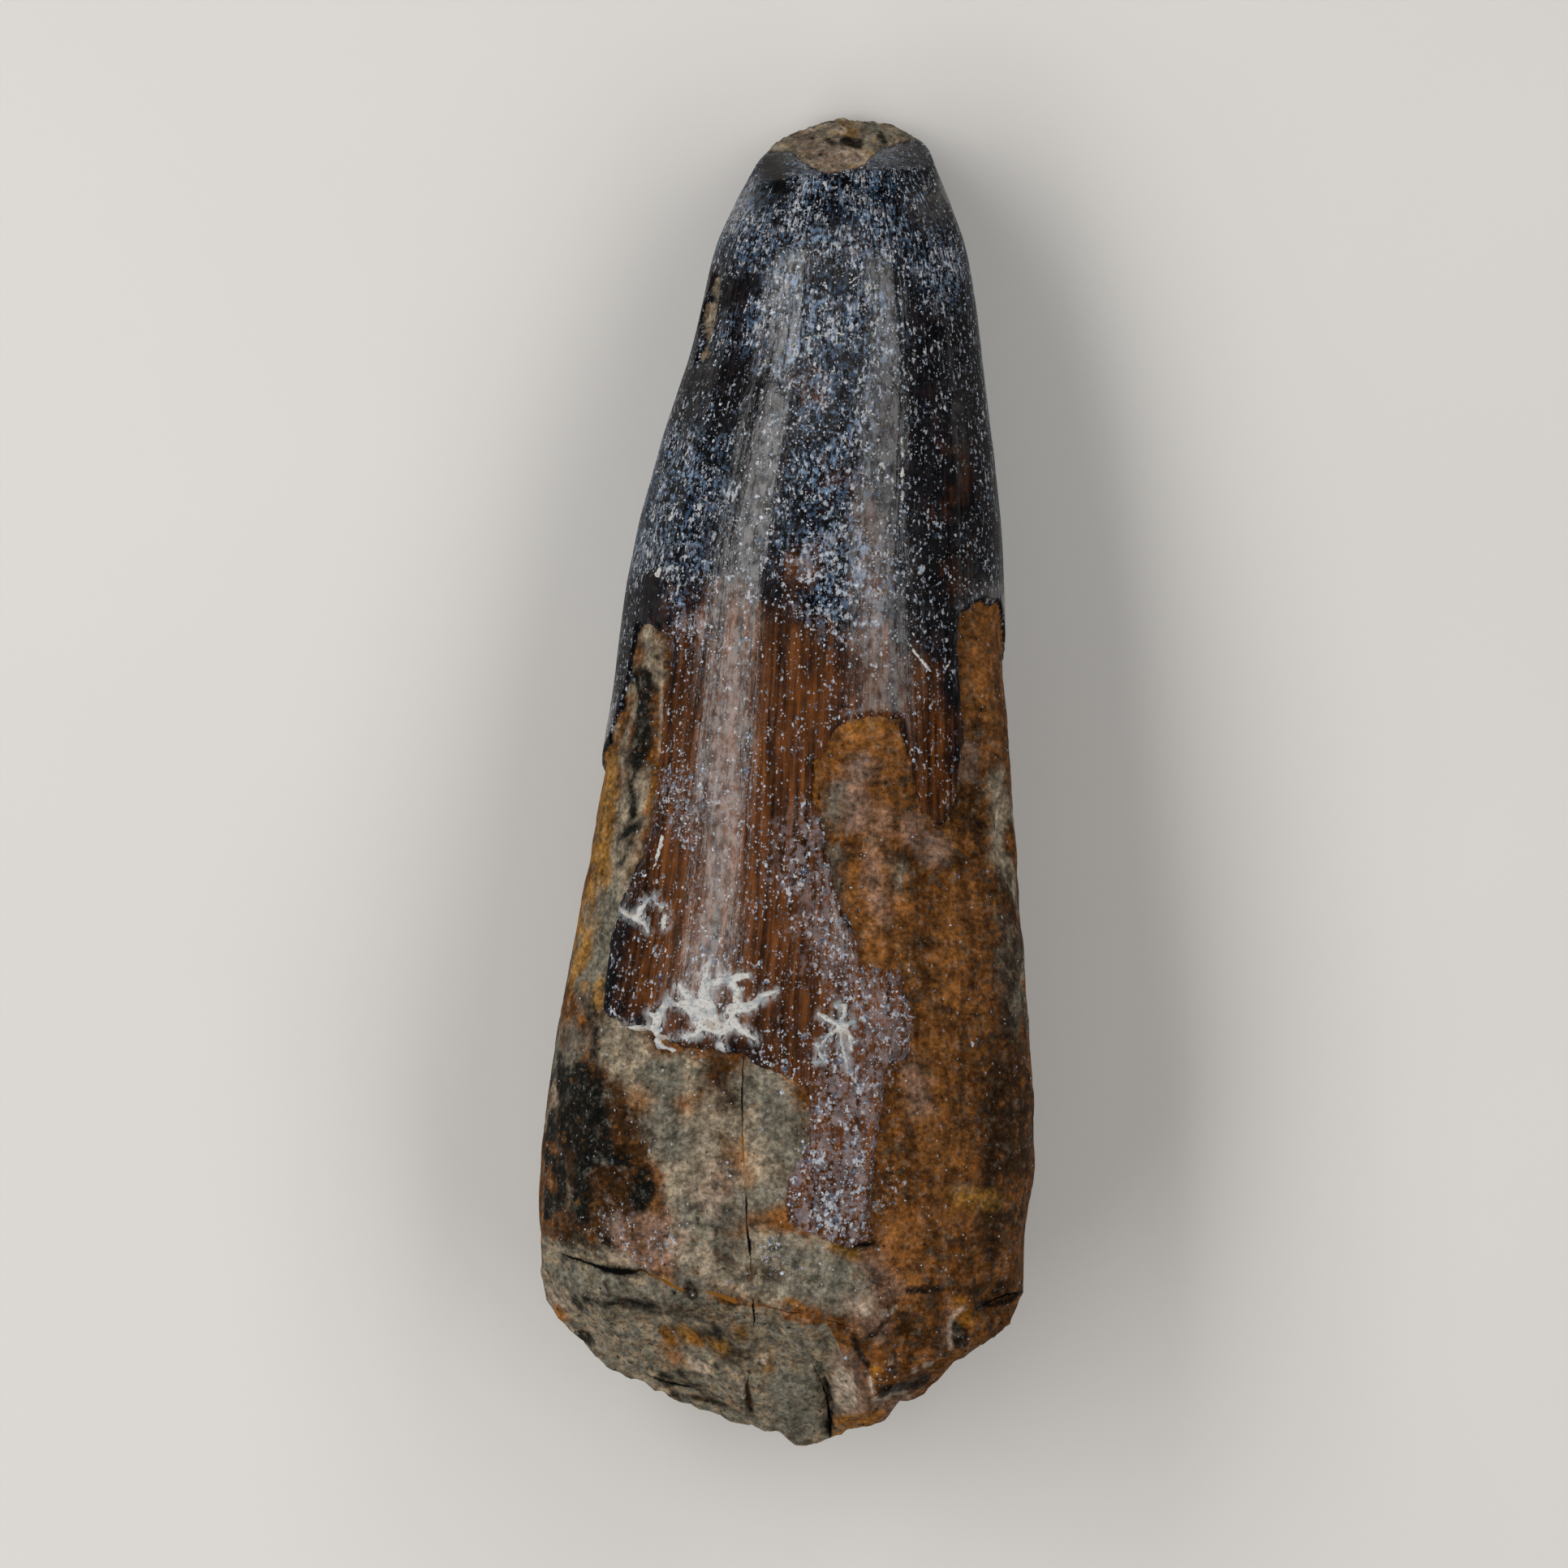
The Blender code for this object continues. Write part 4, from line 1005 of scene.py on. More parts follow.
class Skin:
    """The tooth's vertices and faces as they are gathered, with what is known of each vertex."""

    def __init__(self):
        self.places, self.faces, self.facts, self.count = [], [], [], 0
        self.low = None  # along, where the side meets the break at each turn

    def add(self, places, turn, along, share, part):
        """Adds vertices and gives their numbers. Share is 1 at the side and 0 in the middle of an end."""
        size = len(places)
        self.places.append(places)
        self.facts.append(np.column_stack((turn, along, np.full(size, 1.0) * share, np.full(size, part))))
        self.count += size
        return np.arange(self.count - size, self.count)

    def bridge(self, lower, upper, turned=False):
        """Joins two rings with a band of faces."""
        band = np.column_stack((lower, np.roll(lower, -1), np.roll(upper, -1), upper))
        self.faces.append(band[:, ::-1] if turned else band)

    def close(self, ring, end_at, short_of, crevice, part):
        """Steps in from a ring and down the ledge's wall, and fills the end with a grid on its surface."""
        turned = part == BROKEN
        places = np.vstack(self.places)[ring]
        turn, along = np.vstack(self.facts)[ring, :2].T
        centre = places.mean(0)
        lip = ring
        for down in np.linspace(0, 1, LEDGE_RINGS):
            inward = LEDGE_STEP_IN + (LEDGE_FOOT_IN - LEDGE_STEP_IN) * down
            edge = centre + (places - centre) * (1 - inward)
            edge[:, 1] = end_at(edge[:, 0], edge[:, 2]) + short_of + (crevice - short_of) * down
            step = self.add(edge, turn, along, 1 - inward, part)
            self.bridge(lip, step, turned)
            lip = step
        cells = len(ring) // 4
        radius, steps = disc_places(cells)
        low = np.floor(steps).astype(int) % len(ring)
        share = (steps - np.floor(steps))[..., None]
        edge = edge[low] * (1 - share) + edge[(low + 1) % len(ring)] * share
        spots = centre + (edge - centre) * radius[..., None]
        inner = radius < 1
        flat = spots[inner]
        flat[:, 1] = end_at(flat[:, 0], flat[:, 2])
        numbers = np.zeros(radius.shape, int)
        reach = radius[inner] * (1 - LEDGE_FOOT_IN)
        numbers[inner] = self.add(flat, turn[low][inner], along[low][inner], reach, part)
        numbers[~inner] = lip[np.round(steps[~inner]).astype(int) % len(ring)]
        corners = (numbers[:-1, :-1], numbers[1:, :-1], numbers[1:, 1:], numbers[:-1, 1:])
        grid = np.column_stack([corner.ravel() for corner in corners])
        self.faces.append(grid[:, ::-1] if turned else grid)


def tooth_skin(shape):
    """The whole tooth as one closed skin in millimetres."""
    skin = Skin()
    turn = wrapped_angle(np.arange(AROUND) * math.tau / AROUND)
    ledge = ledge_at(turn)

    def broken(across, height):
        return break_at(across, height, shape.relief)

    def worn(across, height):
        return tip_at(across, height, shape.relief)

    low = rim_of(turn, broken, RIM_STARTS[0], ledge, shape)
    high = rim_of(turn, worn, RIM_STARTS[1], 0, shape)
    share = np.arange(ALONG + 1) / ALONG
    share = share + CROWD_ENDS * (0.5 - np.cos(math.pi * share) / 2 - share)
    turns = np.tile(turn, ALONG + 1)
    along = (low + (high - low) * share[:, None]).ravel()
    places, _, outside = side_places(turns, along, shape)
    rings = skin.add(places, turns, along, 1, SIDE).reshape(ALONG + 1, AROUND)
    for lower, upper in zip(rings, rings[1:]):
        skin.bridge(lower, upper)
    depth = CREVICE_SHALLOWEST + (1 - CREVICE_SHALLOWEST) * np.sin(turn * CREVICE_WAVES) ** 2
    crevice = CREVICE * ledge / LEDGE * depth
    skin.close(rings[0], broken, ledge, crevice, BROKEN)
    skin.close(rings[-1], worn, 0, 0, TIP)
    skin.low = low
    return skin, outside


def mark_fields(places, turn, along, part):
    """For each kind of mark, how far inside its strokes each vertex lies, in millimetres."""
    fields = {}
    girth = section_at(along)[2]
    under = np.where(part == SIDE, np.maximum(np.abs(turn) - math.pi / 2, 0) * girth, 0)
    under += np.where(part == BROKEN, np.maximum(BREAK_LINE_HEIGHT - places[:, 2], 0), 0)
    upper, side = under < FARTHEST, part == SIDE
    # Seen from above, a mark is what its strokes say; round the side its outline wanders
    steep = ease(*np.radians(STEEP_TURNS), np.abs(turn)) * side
    wander = [WANDER[1] * rough(places + shift, WANDER[0], 2) for shift in (0, 40)]
    across, down = places[:, 0] + steep * wander[0], places[:, 1] + steep * wander[1]
    round_side, along_side = turn[side] + wander[0][side] / girth[side], along[side] + wander[1][side]
    for name in SEEN_MARKS:
        field = np.full(len(turn), -FARTHEST)
        for radius, *path in SEEN_MARKS[name]:
            inside = radius - distance_to_path(across[upper], down[upper], path) - under[upper]
            field[upper] = np.maximum(field[upper], inside)
        for radius, *points in HIDDEN_MARKS.get(name, ()):
            for step, away in runs_of(round_side, along_side, hidden_path(points)):
                field[side] = np.maximum(field[side], radius - share_of_run(step, away)[1])
        for radius, *path in BREAK_MARKS.get(name, ()):
            here = part == BROKEN
            spots = places[here, 0] + wander[0][here], places[here, 2] + wander[1][here]
            field[here] = np.maximum(field[here], radius - distance_to_path(*spots, path))
        fields[name] = field
    return fields


def tooth_fields(skin, outside):
    """What the tooth's material and grains read at each vertex, by name."""
    turn, along, share, part = np.vstack(skin.facts).T
    places = np.vstack(skin.places)
    fields = mark_fields(places, turn, along, part)
    # The enamel's edge runs on unchanged over the ends, where the break and the tip cover it
    bare = np.full(len(turn), 1.0)
    bare[: len(outside)] = outside
    bare[part == TIP] = -1.0
    from_break = np.interp(turn, np.sort(turn[:AROUND]), skin.low[np.argsort(turn[:AROUND])])
    tip_edge = np.interp(places[:, 0], TIP_EDGE[:, 0], TIP_EDGE[:, 1])
    girth = section_at(along)[2]
    fields["bare"] = bare
    short_of_break = np.maximum(from_break - along, -FARTHEST)
    fields["broken"] = np.where(part == BROKEN, (1 - share) * girth, short_of_break)
    fields["worn_tip"] = np.maximum(places[:, 1] - tip_edge, -FARTHEST)
    for number, (way, line) in enumerate(FINE_LINES):
        rows = np.array(line)
        down, off = (places[:, 1], places[:, 0]) if way == "along" else (places[:, 0], places[:, 1])
        middle, width, fill = (np.interp(down, rows[:, 0], column) for column in rows[:, 1:].T)
        off = np.where(places[:, 2] > BREAK_LINE_HEIGHT - 1, off - middle, FARTHEST)
        fields[f"line_{number}"] = np.column_stack((off, width, fill))
    seen = (part == SIDE) & (np.abs(turn) < math.pi / 2)
    fields["lime"] = np.full(len(turn), -1.0)
    smooth = section_at(along[seen])
    fields["lime"][seen] = crust_field(smooth[0] + smooth[2] * np.sin(turn[seen]), along[seen], CRUST_STROKES)
    fields["grains"] = grain_density(places, fields, part)
    return fields, wrapped_places(turn, along, share)


def grain_density(places, fields, part):
    """How thickly raised grains lie: most in the bloom on the enamel, few on the bare dentine."""
    patchy = ease(-0.5, 0.6, rough(places, GRAIN_PATCHES, 3))
    in_bloom = ease(-2.5, 0.8, fields["haze"])
    on_enamel = (GRAINS_OFF_BLOOM + (1 - GRAINS_OFF_BLOOM) * in_bloom) * patchy
    on_enamel *= ease(0.4, -0.2, fields["void"])
    return np.where(fields["bare"] < 0, on_enamel, GRAINS_ON_BARE * patchy) * (part == SIDE)


def mesh_of(name, places, faces, slide):
    """A mesh in metres from points in millimetres, slid as the solid is."""
    mesh = bpy.data.meshes.new(name)
    mesh.from_pydata(((places + slide) * MM).tolist(), [], faces)
    mesh.validate()
    return mesh


def store(mesh, name, values):
    """Keeps a number or a vector for each vertex."""
    kind, key = ("FLOAT", "value") if values.ndim == 1 else ("FLOAT_VECTOR", "vector")
    attribute = mesh.attributes.new(name, kind, "POINT")
    attribute.data.foreach_set(key, values.astype(np.float32).ravel())


def show(name, mesh, material):
    """Puts a mesh in the scene as a piece that rides on the tooth's body."""
    if not mesh.materials:
        mesh.materials.append(material)
    piece = bpy.data.objects.new(name, mesh)
    bpy.context.scene.collection.objects.link(piece)
    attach(piece, BODY)
    return piece


class Nodes:
    """Adds shader nodes. A socket, a number or a colour can be given for any input."""

    def __init__(self, name):
        self.material = bpy.data.materials.new(name)
        self.material.use_nodes = True
        self.tree = self.material.node_tree
        self.shader = self.tree.nodes["Principled BSDF"]

    def join(self, value, socket):
        """Links or sets a socket; a number fills every part of a colour or a vector."""
        if isinstance(value, bpy.types.NodeSocket):
            self.tree.links.new(value, socket)
        elif hasattr(socket.default_value, "__len__") and not hasattr(value, "__len__"):
            socket.default_value = (value,) * len(socket.default_value)
        elif hasattr(value, "__len__") and len(value) < len(socket.default_value):
            socket.default_value = (*value, 1.0)
        else:
            socket.default_value = value

    def add(self, kind, inputs, output=0, **settings):
        """Adds a node and gives one of its outputs."""
        node = self.tree.nodes.new("ShaderNode" + kind)
        for name, value in settings.items():
            setattr(node, name, value)
        for key, value in inputs.items():
            self.join(value, node.inputs[key])
        return node.outputs[output]

    def places(self):
        """Points of the piece in millimetres."""
        found = self.add("TexCoord", {}, "Object")
        return self.stretched(found, 1 / MM)

    def field(self, name):
        return self.add("Attribute", {}, "Fac", attribute_name=name)

    def vector_field(self, name):
        return self.add("Attribute", {}, "Vector", attribute_name=name)

    def stretched(self, vector, factors):
        return self.add("VectorMath", {0: vector, 1: factors}, operation="MULTIPLY")

    def maths(self, operation, a, b=0.0):
        return self.add("Math", {0: a, 1: b}, operation=operation)

    def plus(self, *values):
        total = values[0]
        for value in values[1:]:
            total = self.maths("ADD", total, value)
        return total

    def times(self, *values):
        total = values[0]
        for value in values[1:]:
            total = self.maths("MULTIPLY", total, value)
        return total

    def other(self, share):
        return self.maths("SUBTRACT", 1.0, share)

    def span(self, value, low, high, start=0.0, end=1.0, smooth=True):
        """A value brought from low and high to start and end, and held there beyond them."""
        inputs = {"Value": value, "From Min": low, "From Max": high, "To Min": start, "To Max": end}
        kind = "SMOOTHSTEP" if smooth else "LINEAR"
        return self.add("MapRange", inputs, interpolation_type=kind)

    def clouds(self, place, size, detail=2.0, roughness=0.5):
        """Soft noise from 0 to 1, with lumps about that many millimetres wide."""
        inputs = {"Vector": place, "Scale": 1 / size, "Detail": detail, "Roughness": roughness}
        return self.add("TexNoise", inputs)

    def three_clouds(self, place, size, detail, roughness):
        """Three unlike noises of the same kind."""
        inputs = {"Vector": place, "Scale": 1 / size, "Detail": detail, "Roughness": roughness}
        colour = self.add("TexNoise", inputs, "Color")
        return [self.add("SeparateColor", {0: colour}, channel) for channel in range(3)]

    def swayed(self, field, cloud, reach):
        """A field whose zero line wanders by about the reach."""
        return self.plus(field, self.times(self.plus(cloud, -0.5), 3.0 * reach))

    def mix(self, share, a, b):
        """The first colour or number where the share is 0 and the second where it is 1."""
        return self.add("Mix", {0: share, 6: a, 7: b}, 2, data_type="RGBA", clamp_factor=True)

    def shades(self, value, *stops):
        """A colour ramp: pairs of a place from 0 to 1 and a colour."""
        node = self.tree.nodes.new("ShaderNodeValToRGB")
        self.join(value, node.inputs[0])
        elements = node.color_ramp.elements
        while len(elements) < len(stops):
            elements.new(0.5)
        for element, (place, colour) in zip(elements, stops):
            element.position = place
            element.color = (*colour, 1.0)
        return node.outputs[0]

    def specks(self, place, spacing, smallest, largest, density, ragged):
        """Specks: how bright each is, and 0 between them. Density is the share of cells that hold one."""
        node = self.tree.nodes.new("ShaderNodeTexVoronoi")
        self.join(place, node.inputs["Vector"])
        node.inputs["Scale"].default_value = 1 / spacing
        chance = self.add("SeparateColor", {0: node.outputs["Color"]}, 0)
        spread = self.add("SeparateColor", {0: node.outputs["Color"]}, 1)
        tone = self.add("SeparateColor", {0: node.outputs["Color"]}, 2)
        radius = self.span(spread, 0.3, 1.0, smallest / spacing, largest / spacing)
        reach = self.swayed(self.maths("DIVIDE", node.outputs["Distance"], radius), ragged, 2.2)
        near = self.span(reach, 1.0, 0.5)
        kept = self.maths("LESS_THAN", chance, density)
        return self.times(near, kept, self.span(tone, 0.0, 1.0, 0.35, 1.0))

    def scaled(self, colour, factor):
        """A colour made darker or lighter by a socket."""
        return self.add("VectorMath", {0: colour, "Scale": factor}, operation="SCALE")

    def bump(self, height):
        """A normal from heights in millimetres."""
        return self.add("Bump", {"Height": height, "Distance": MM})

    def finish(self, colour, roughness, height, specular=0.5):
        """Joins the surface's colour, roughness and relief, and gives the material."""
        self.join(colour, self.shader.inputs["Base Color"])
        self.join(roughness, self.shader.inputs["Roughness"])
        self.join(self.bump(height), self.shader.inputs["Normal"])
        self.shader.inputs["Specular IOR Level"].default_value = specular
        return self.material

    def glaze(self, share, roughness, ior):
        """A clear gloss over part of the surface, on the same relief."""
        self.join(share, self.shader.inputs["Coat Weight"])
        self.join(self.shader.inputs["Normal"].links[0].from_socket, self.shader.inputs["Coat Normal"])
        self.shader.inputs["Coat Roughness"].default_value = roughness
        self.shader.inputs["Coat IOR"].default_value = ior


def darker(colour, factor):
    """A colour made darker, or lighter above 1."""
    return tuple(part * factor for part in colour)


def toward(colour, other, share):
    """A colour part of the way to another."""
    return tuple(a + (b - a) * share for a, b in zip(colour, other))


def striped(n, wrapped, size, stretch, detail=3.0, roughness=0.6):
    """Noise drawn out towards the tip, on the cylinder round the tooth."""
    return n.clouds(n.stretched(wrapped, (1, stretch, 1)), size, detail, roughness)


def laid(n, colours, colour, cloud, name, most, reach, soft):
    """One kind of zone laid over a colour, with an edge that wanders."""
    share = n.span(n.swayed(n.field(name), cloud, reach), -soft, soft, 0.0, most)
    return n.mix(share, colour, getattr(colours, name))


def specked(n, colours, colour, here, wrapped, density, fibres):
    """Light specks over a colour, and how much of the surface they cover."""
    blots = striped(n, wrapped, 0.22, 0.55, 2.0, 0.6)
    edge = n.span(density, 0.0, 1.0, 0.70, 0.52, smooth=False)
    blot = n.span(n.maths("SUBTRACT", blots, edge), 0.0, 0.06)
    dust = n.specks(here, 0.14, 0.03, 0.07, n.times(density, 0.95), fibres)
    dots = n.specks(here, 0.26, 0.04, 0.11, n.times(density, 0.6), fibres)
    tint = n.clouds(here, 0.38, 2.0, 0.6)
    paint = n.shades(
        tint,
        (0.36, darker(colours.bloom, 0.9)),
        (0.46, darker(colours.speck, 0.4)),
        (0.56, colours.speck),
        (0.67, toward(colours.crust, colours.ochre, 0.2)),
    )
    cover = n.maths("MAXIMUM", n.times(blot, 0.7), n.maths("MAXIMUM", n.times(dust, 0.75), dots))
    return n.mix(cover, colour, paint), cover


def enamel_look(n, colours, noises, fibres, grain):
    """Colour, roughness, height and speck density of the enamel."""
    threads, bands, patches, sways = noises
    tone = n.plus(n.times(threads, 0.5), n.times(bands, 0.25), n.times(patches, 0.25))
    amber = n.shades(
        tone,
        (0.38, darker(colours.amber, 0.08)),
        (0.46, darker(colours.amber, 0.45)),
        (0.53, colours.amber),
        (0.62, darker(colours.amber, 1.9)),
    )
    black = n.shades(
        n.plus(n.times(patches, 0.6), n.times(threads, 0.4)),
        (0.38, darker(colours.black, 0.3)),
        (0.5, colours.black),
        (0.62, toward(darker(colours.black, 3.0), colours.amber, 0.13)),
    )
    amber_share = n.span(n.swayed(n.field("amber"), sways[0], 1.6), -1.0, 1.0)
    colour = n.mix(amber_share, black, amber)
    filled = n.span(n.swayed(n.field("void"), sways[1], 0.6), 0.4, -0.4)
    bloom_share = n.span(n.swayed(n.field("haze"), sways[2], 1.6), -2.0, 0.9)
    dense = n.times(amber_share, bloom_share, 0.03)
    mottled = n.plus(n.times(fibres, 0.6), n.times(grain, 0.4), dense)
    film = n.times(n.span(mottled, 0.49, 0.58), n.span(bloom_share, 0.0, 1.0, 0.02, 0.9), filled)
    cloudy = n.span(sways[1], 0.42, 0.60)
    milky = toward(darker(colours.bloom, 1.8), colours.speck, 0.22)
    film_colour = n.mix(cloudy, darker(colours.bloom, 0.6), milky)
    warmth = n.maths("MAXIMUM", amber_share, n.span(sways[0], 0.50, 0.62, 0.0, 0.7))
    film_colour = n.mix(warmth, film_colour, toward(colours.bloom, colours.pink, 0.7))
    film_colour = n.scaled(film_colour, n.span(patches, 0.38, 0.62, 0.5, 1.4, smooth=False))
    colour = n.mix(film, colour, film_colour)
    lime = n.span(n.swayed(n.field("lime"), sways[1], 0.35), -0.40, 0.20)
    lime = n.times(lime, n.span(fibres, 0.43, 0.56, 0.05, 0.95))
    colour = n.mix(lime, colour, toward(colours.crust, colours.bloom, 0.3))
    clusters = n.span(sways[0], 0.40, 0.60, 0.25, 1.0)
    sparse = n.mix(amber_share, 0.72, 0.5)
    density = n.times(clusters, n.plus(sparse, n.times(bloom_share, 0.55)), filled)
    roughness = n.plus(n.span(patches, 0.3, 0.7, 0.34, 0.44), n.times(film, 0.15))
    relief = n.plus(n.times(threads, 0.010), n.times(bands, 0.010))
    relief = n.plus(relief, n.times(patches, 0.005), n.times(grain, 0.012))
    return colour, roughness, relief, density


def bare_look(n, colours, sloped, tone, sways, hues, streaks, grain, broken):
    """Colour, roughness, height and speck density of the bare dentine, the break and the worn tip."""
    rust, tan = colours.rust, colours.tan
    side = n.mix(n.span(hues[0], 0.40, 0.60), darker(rust, 0.8), toward(rust, colours.orange, 0.5))
    side = n.mix(n.span(hues[1], 0.50, 0.38, 0.0, 0.8), side, toward(colours.umber, colours.slate, 0.25))
    clouded = n.span(hues[0], 0.42, 0.58)
    grey = n.mix(clouded, toward(tan, colours.slate, 0.75), toward(tan, colours.ochre, 0.2))
    rusty = n.mix(clouded, toward(rust, colours.umber, 0.5), toward(rust, colours.orange, 0.4))
    across = n.add("SeparateXYZ", {0: n.places()}, 0)
    root = n.span(n.field("broken"), -2.0, -1.0)
    ends = n.mix(n.times(root, n.span(n.swayed(across, sways[1], 1.2), 2.2, 4.2)), grey, rusty)
    colour = n.mix(broken, side, ends)
    for name, most, reach, soft, cloud in (
        ("tan", 0.95, 0.9, 0.45, sways[0]),
        ("slate", 0.75, 0.9, 0.5, sways[1]),
        ("orange", 0.8, 0.9, 0.6, sways[2]),
        ("umber", 0.85, 0.8, 0.4, hues[2]),
        ("ochre", 0.85, 0.5, 0.3, sways[2]),
        ("pink", 0.5, 0.9, 0.5, sways[1]),
        # The next two zones: real black stains together with painted shadow in crevices, then painted shadow
        # in crevices, grooves and pits
        ("stain", 0.985, 0.45, 0.22, sways[0]),
        ("seam", 0.93, 0.1, 0.12, hues[0]),
        ("vein", 0.9, 0.12, 0.12, hues[1]),
        ("pale", 0.8, 0.1, 0.1, hues[2]),
    ):
        colour = laid(n, colours, colour, cloud, name, most, reach, soft)
    for cloud, start, end, name, most in (
        (hues[1], 0.52, 0.66, "slate", 0.35),
        (hues[2], 0.54, 0.68, "pink", 0.25),
        (hues[2], 0.44, 0.32, "orange", 0.3),
    ):
        colour = n.mix(n.span(cloud, start, end, 0.0, most), colour, getattr(colours, name))
    colour = n.scaled(colour, n.span(tone, 0.36, 0.64, 0.38, 1.68, smooth=False))
    streak = n.span(streaks, 0.38, 0.62, -0.24, 0.24, smooth=False)
    colour = n.scaled(colour, n.plus(1.0, n.times(streak, n.other(broken))))
    colour = n.scaled(colour, n.span(grain, 0.36, 0.64, 0.6, 1.45, smooth=False))
    pitted = n.plus(n.span(hues[1], 0.46, 0.62, 0.04, 0.3), n.times(broken, 0.3))
    coarse_pits = n.specks(sloped, 0.4, 0.05, 0.12, pitted, grain)
    fine_pits = n.specks(sloped, 0.22, 0.03, 0.06, pitted, grain)
    pits = n.maths("MAXIMUM", coarse_pits, fine_pits)
    colour = n.mix(n.times(pits, n.plus(0.7, n.times(broken, 0.2))), colour, darker(colours.umber, 0.3))
    frost = n.span(n.swayed(n.field("haze"), sways[1], 0.9), -0.6, 0.6, 0.04, 0.9)
    density = n.times(frost, n.span(hues[0], 0.4, 0.6, 0.3, 1.0), n.other(broken))
    relief = n.plus(n.times(tone, n.plus(0.22, n.times(broken, -0.06))), n.times(grain, 0.04))
    return colour, n.span(tone, 0.35, 0.65, 0.55, 0.72), relief, density


def tooth_material(colours):
    """Enamel, bare dentine, break and worn tip, each in its own place on the one surface."""
    n = Nodes("fossil_tooth")
    here, wrapped = n.places(), n.vector_field("wrapped")
    threads = striped(n, wrapped, 0.24, 0.05)
    streaks = striped(n, wrapped, 0.9, 0.09, 4.0, 0.65)
    fibres = striped(n, wrapped, 0.3, 0.35, 4.0, 0.7)
    sloped = n.stretched(here, (1, 1, STEEP_STRETCH))
    sways, hues = n.three_clouds(here, 1.5, 5.0, 0.72), n.three_clouds(sloped, 0.6, 4.0, 0.65)
    tone = n.clouds(sloped, 0.85, 6.0, 0.76)
    grain = n.clouds(sloped, 0.24, 3.0, 0.6)
    bare = n.span(n.swayed(n.field("bare"), hues[0], 0.12), -0.05, 0.05)
    ends = n.maths("MAXIMUM", n.field("broken"), n.field("worn_tip"))
    broken = n.span(n.swayed(ends, hues[1], 0.12), -0.1, 0.1)
    bare = n.maths("MAXIMUM", bare, broken)
    enamel = enamel_look(n, colours, (threads, streaks, tone, sways), fibres, grain)
    dentine = bare_look(n, colours, sloped, tone, sways, hues, streaks, grain, broken)
    colour = n.mix(bare, enamel[0], dentine[0])
    roughness, height, density = (
        n.plus(n.times(a, n.other(bare)), n.times(b, bare)) for a, b in zip(enamel[1:], dentine[1:])
    )
    colour, cover = specked(n, colours, colour, here, wrapped, density, fibres)
    for number in range(len(FINE_LINES)):
        line = n.vector_field(f"line_{number}")
        off, width, fill = (n.add("SeparateXYZ", {0: line}, axis) for axis in range(3))
        off = n.maths("ABSOLUTE", n.swayed(off, hues[2], 0.10))
        inside = n.times(n.span(n.maths("SUBTRACT", off, width), 0.03, -0.02), bare)
        # The lines' dark is painted shade in the crack and the crevices; their gold is their own colour
        colour = n.mix(inside, colour, n.mix(fill, darker(colours.stain, 0.3), colours.vein))
        height = n.plus(height, n.times(inside, n.other(fill), -0.08))
    material = n.finish(colour, roughness, height, DULL_SPECULAR)
    dulled = n.span(n.swayed(n.field("matte"), sways[0], 0.8), -1.2, 0.8, 1.0, 0.06)
    inner = n.span(n.field("bare"), -0.2, -0.42)
    worn = n.times(n.span(fibres, 0.38, 0.56, 0.4, 1.0), n.span(hues[0], 0.36, 0.56, 0.45, 1.0))
    unspecked = n.other(n.times(cover, 0.6))
    n.glaze(n.times(inner, n.other(bare), unspecked, dulled, worn), ENAMEL_ROUGHNESS, ENAMEL_IOR)
    return material


def grain_material(colours):
    """Small mineral grains, each in its own shade."""
    n = Nodes("mineral_grain")
    shade = n.field("shade")
    colour = n.shades(
        shade,
        (0.0, darker(colours.bloom, 0.8)),
        (0.35, darker(colours.speck, 0.6)),
        (0.65, colours.speck),
        (1.0, toward(colours.crust, colours.ochre, 0.35)),
    )
    here = n.places()
    return n.finish(colour, 0.55, n.times(n.clouds(here, 0.05), 0.02))


def crust_material(colours):
    """White crust with cream and bluish places."""
    n = Nodes("white_crust")
    here = n.places()
    patches, fine = n.clouds(here, 0.8, 3.0), n.clouds(here, 0.12, 2.0, 0.6)
    colour = n.shades(
        patches,
        (0.36, toward(colours.crust, colours.bloom, 0.45)),
        (0.48, colours.crust),
        (0.56, darker(colours.crust, 1.1)),
        (0.68, toward(colours.crust, colours.ochre, 0.4)),
    )
    colour = n.mix(n.span(fine, 0.46, 0.32, 0.0, 0.6), colour, darker(colours.bloom, 0.5))
    return n.finish(colour, 0.75, n.times(fine, 0.05), 0.3)


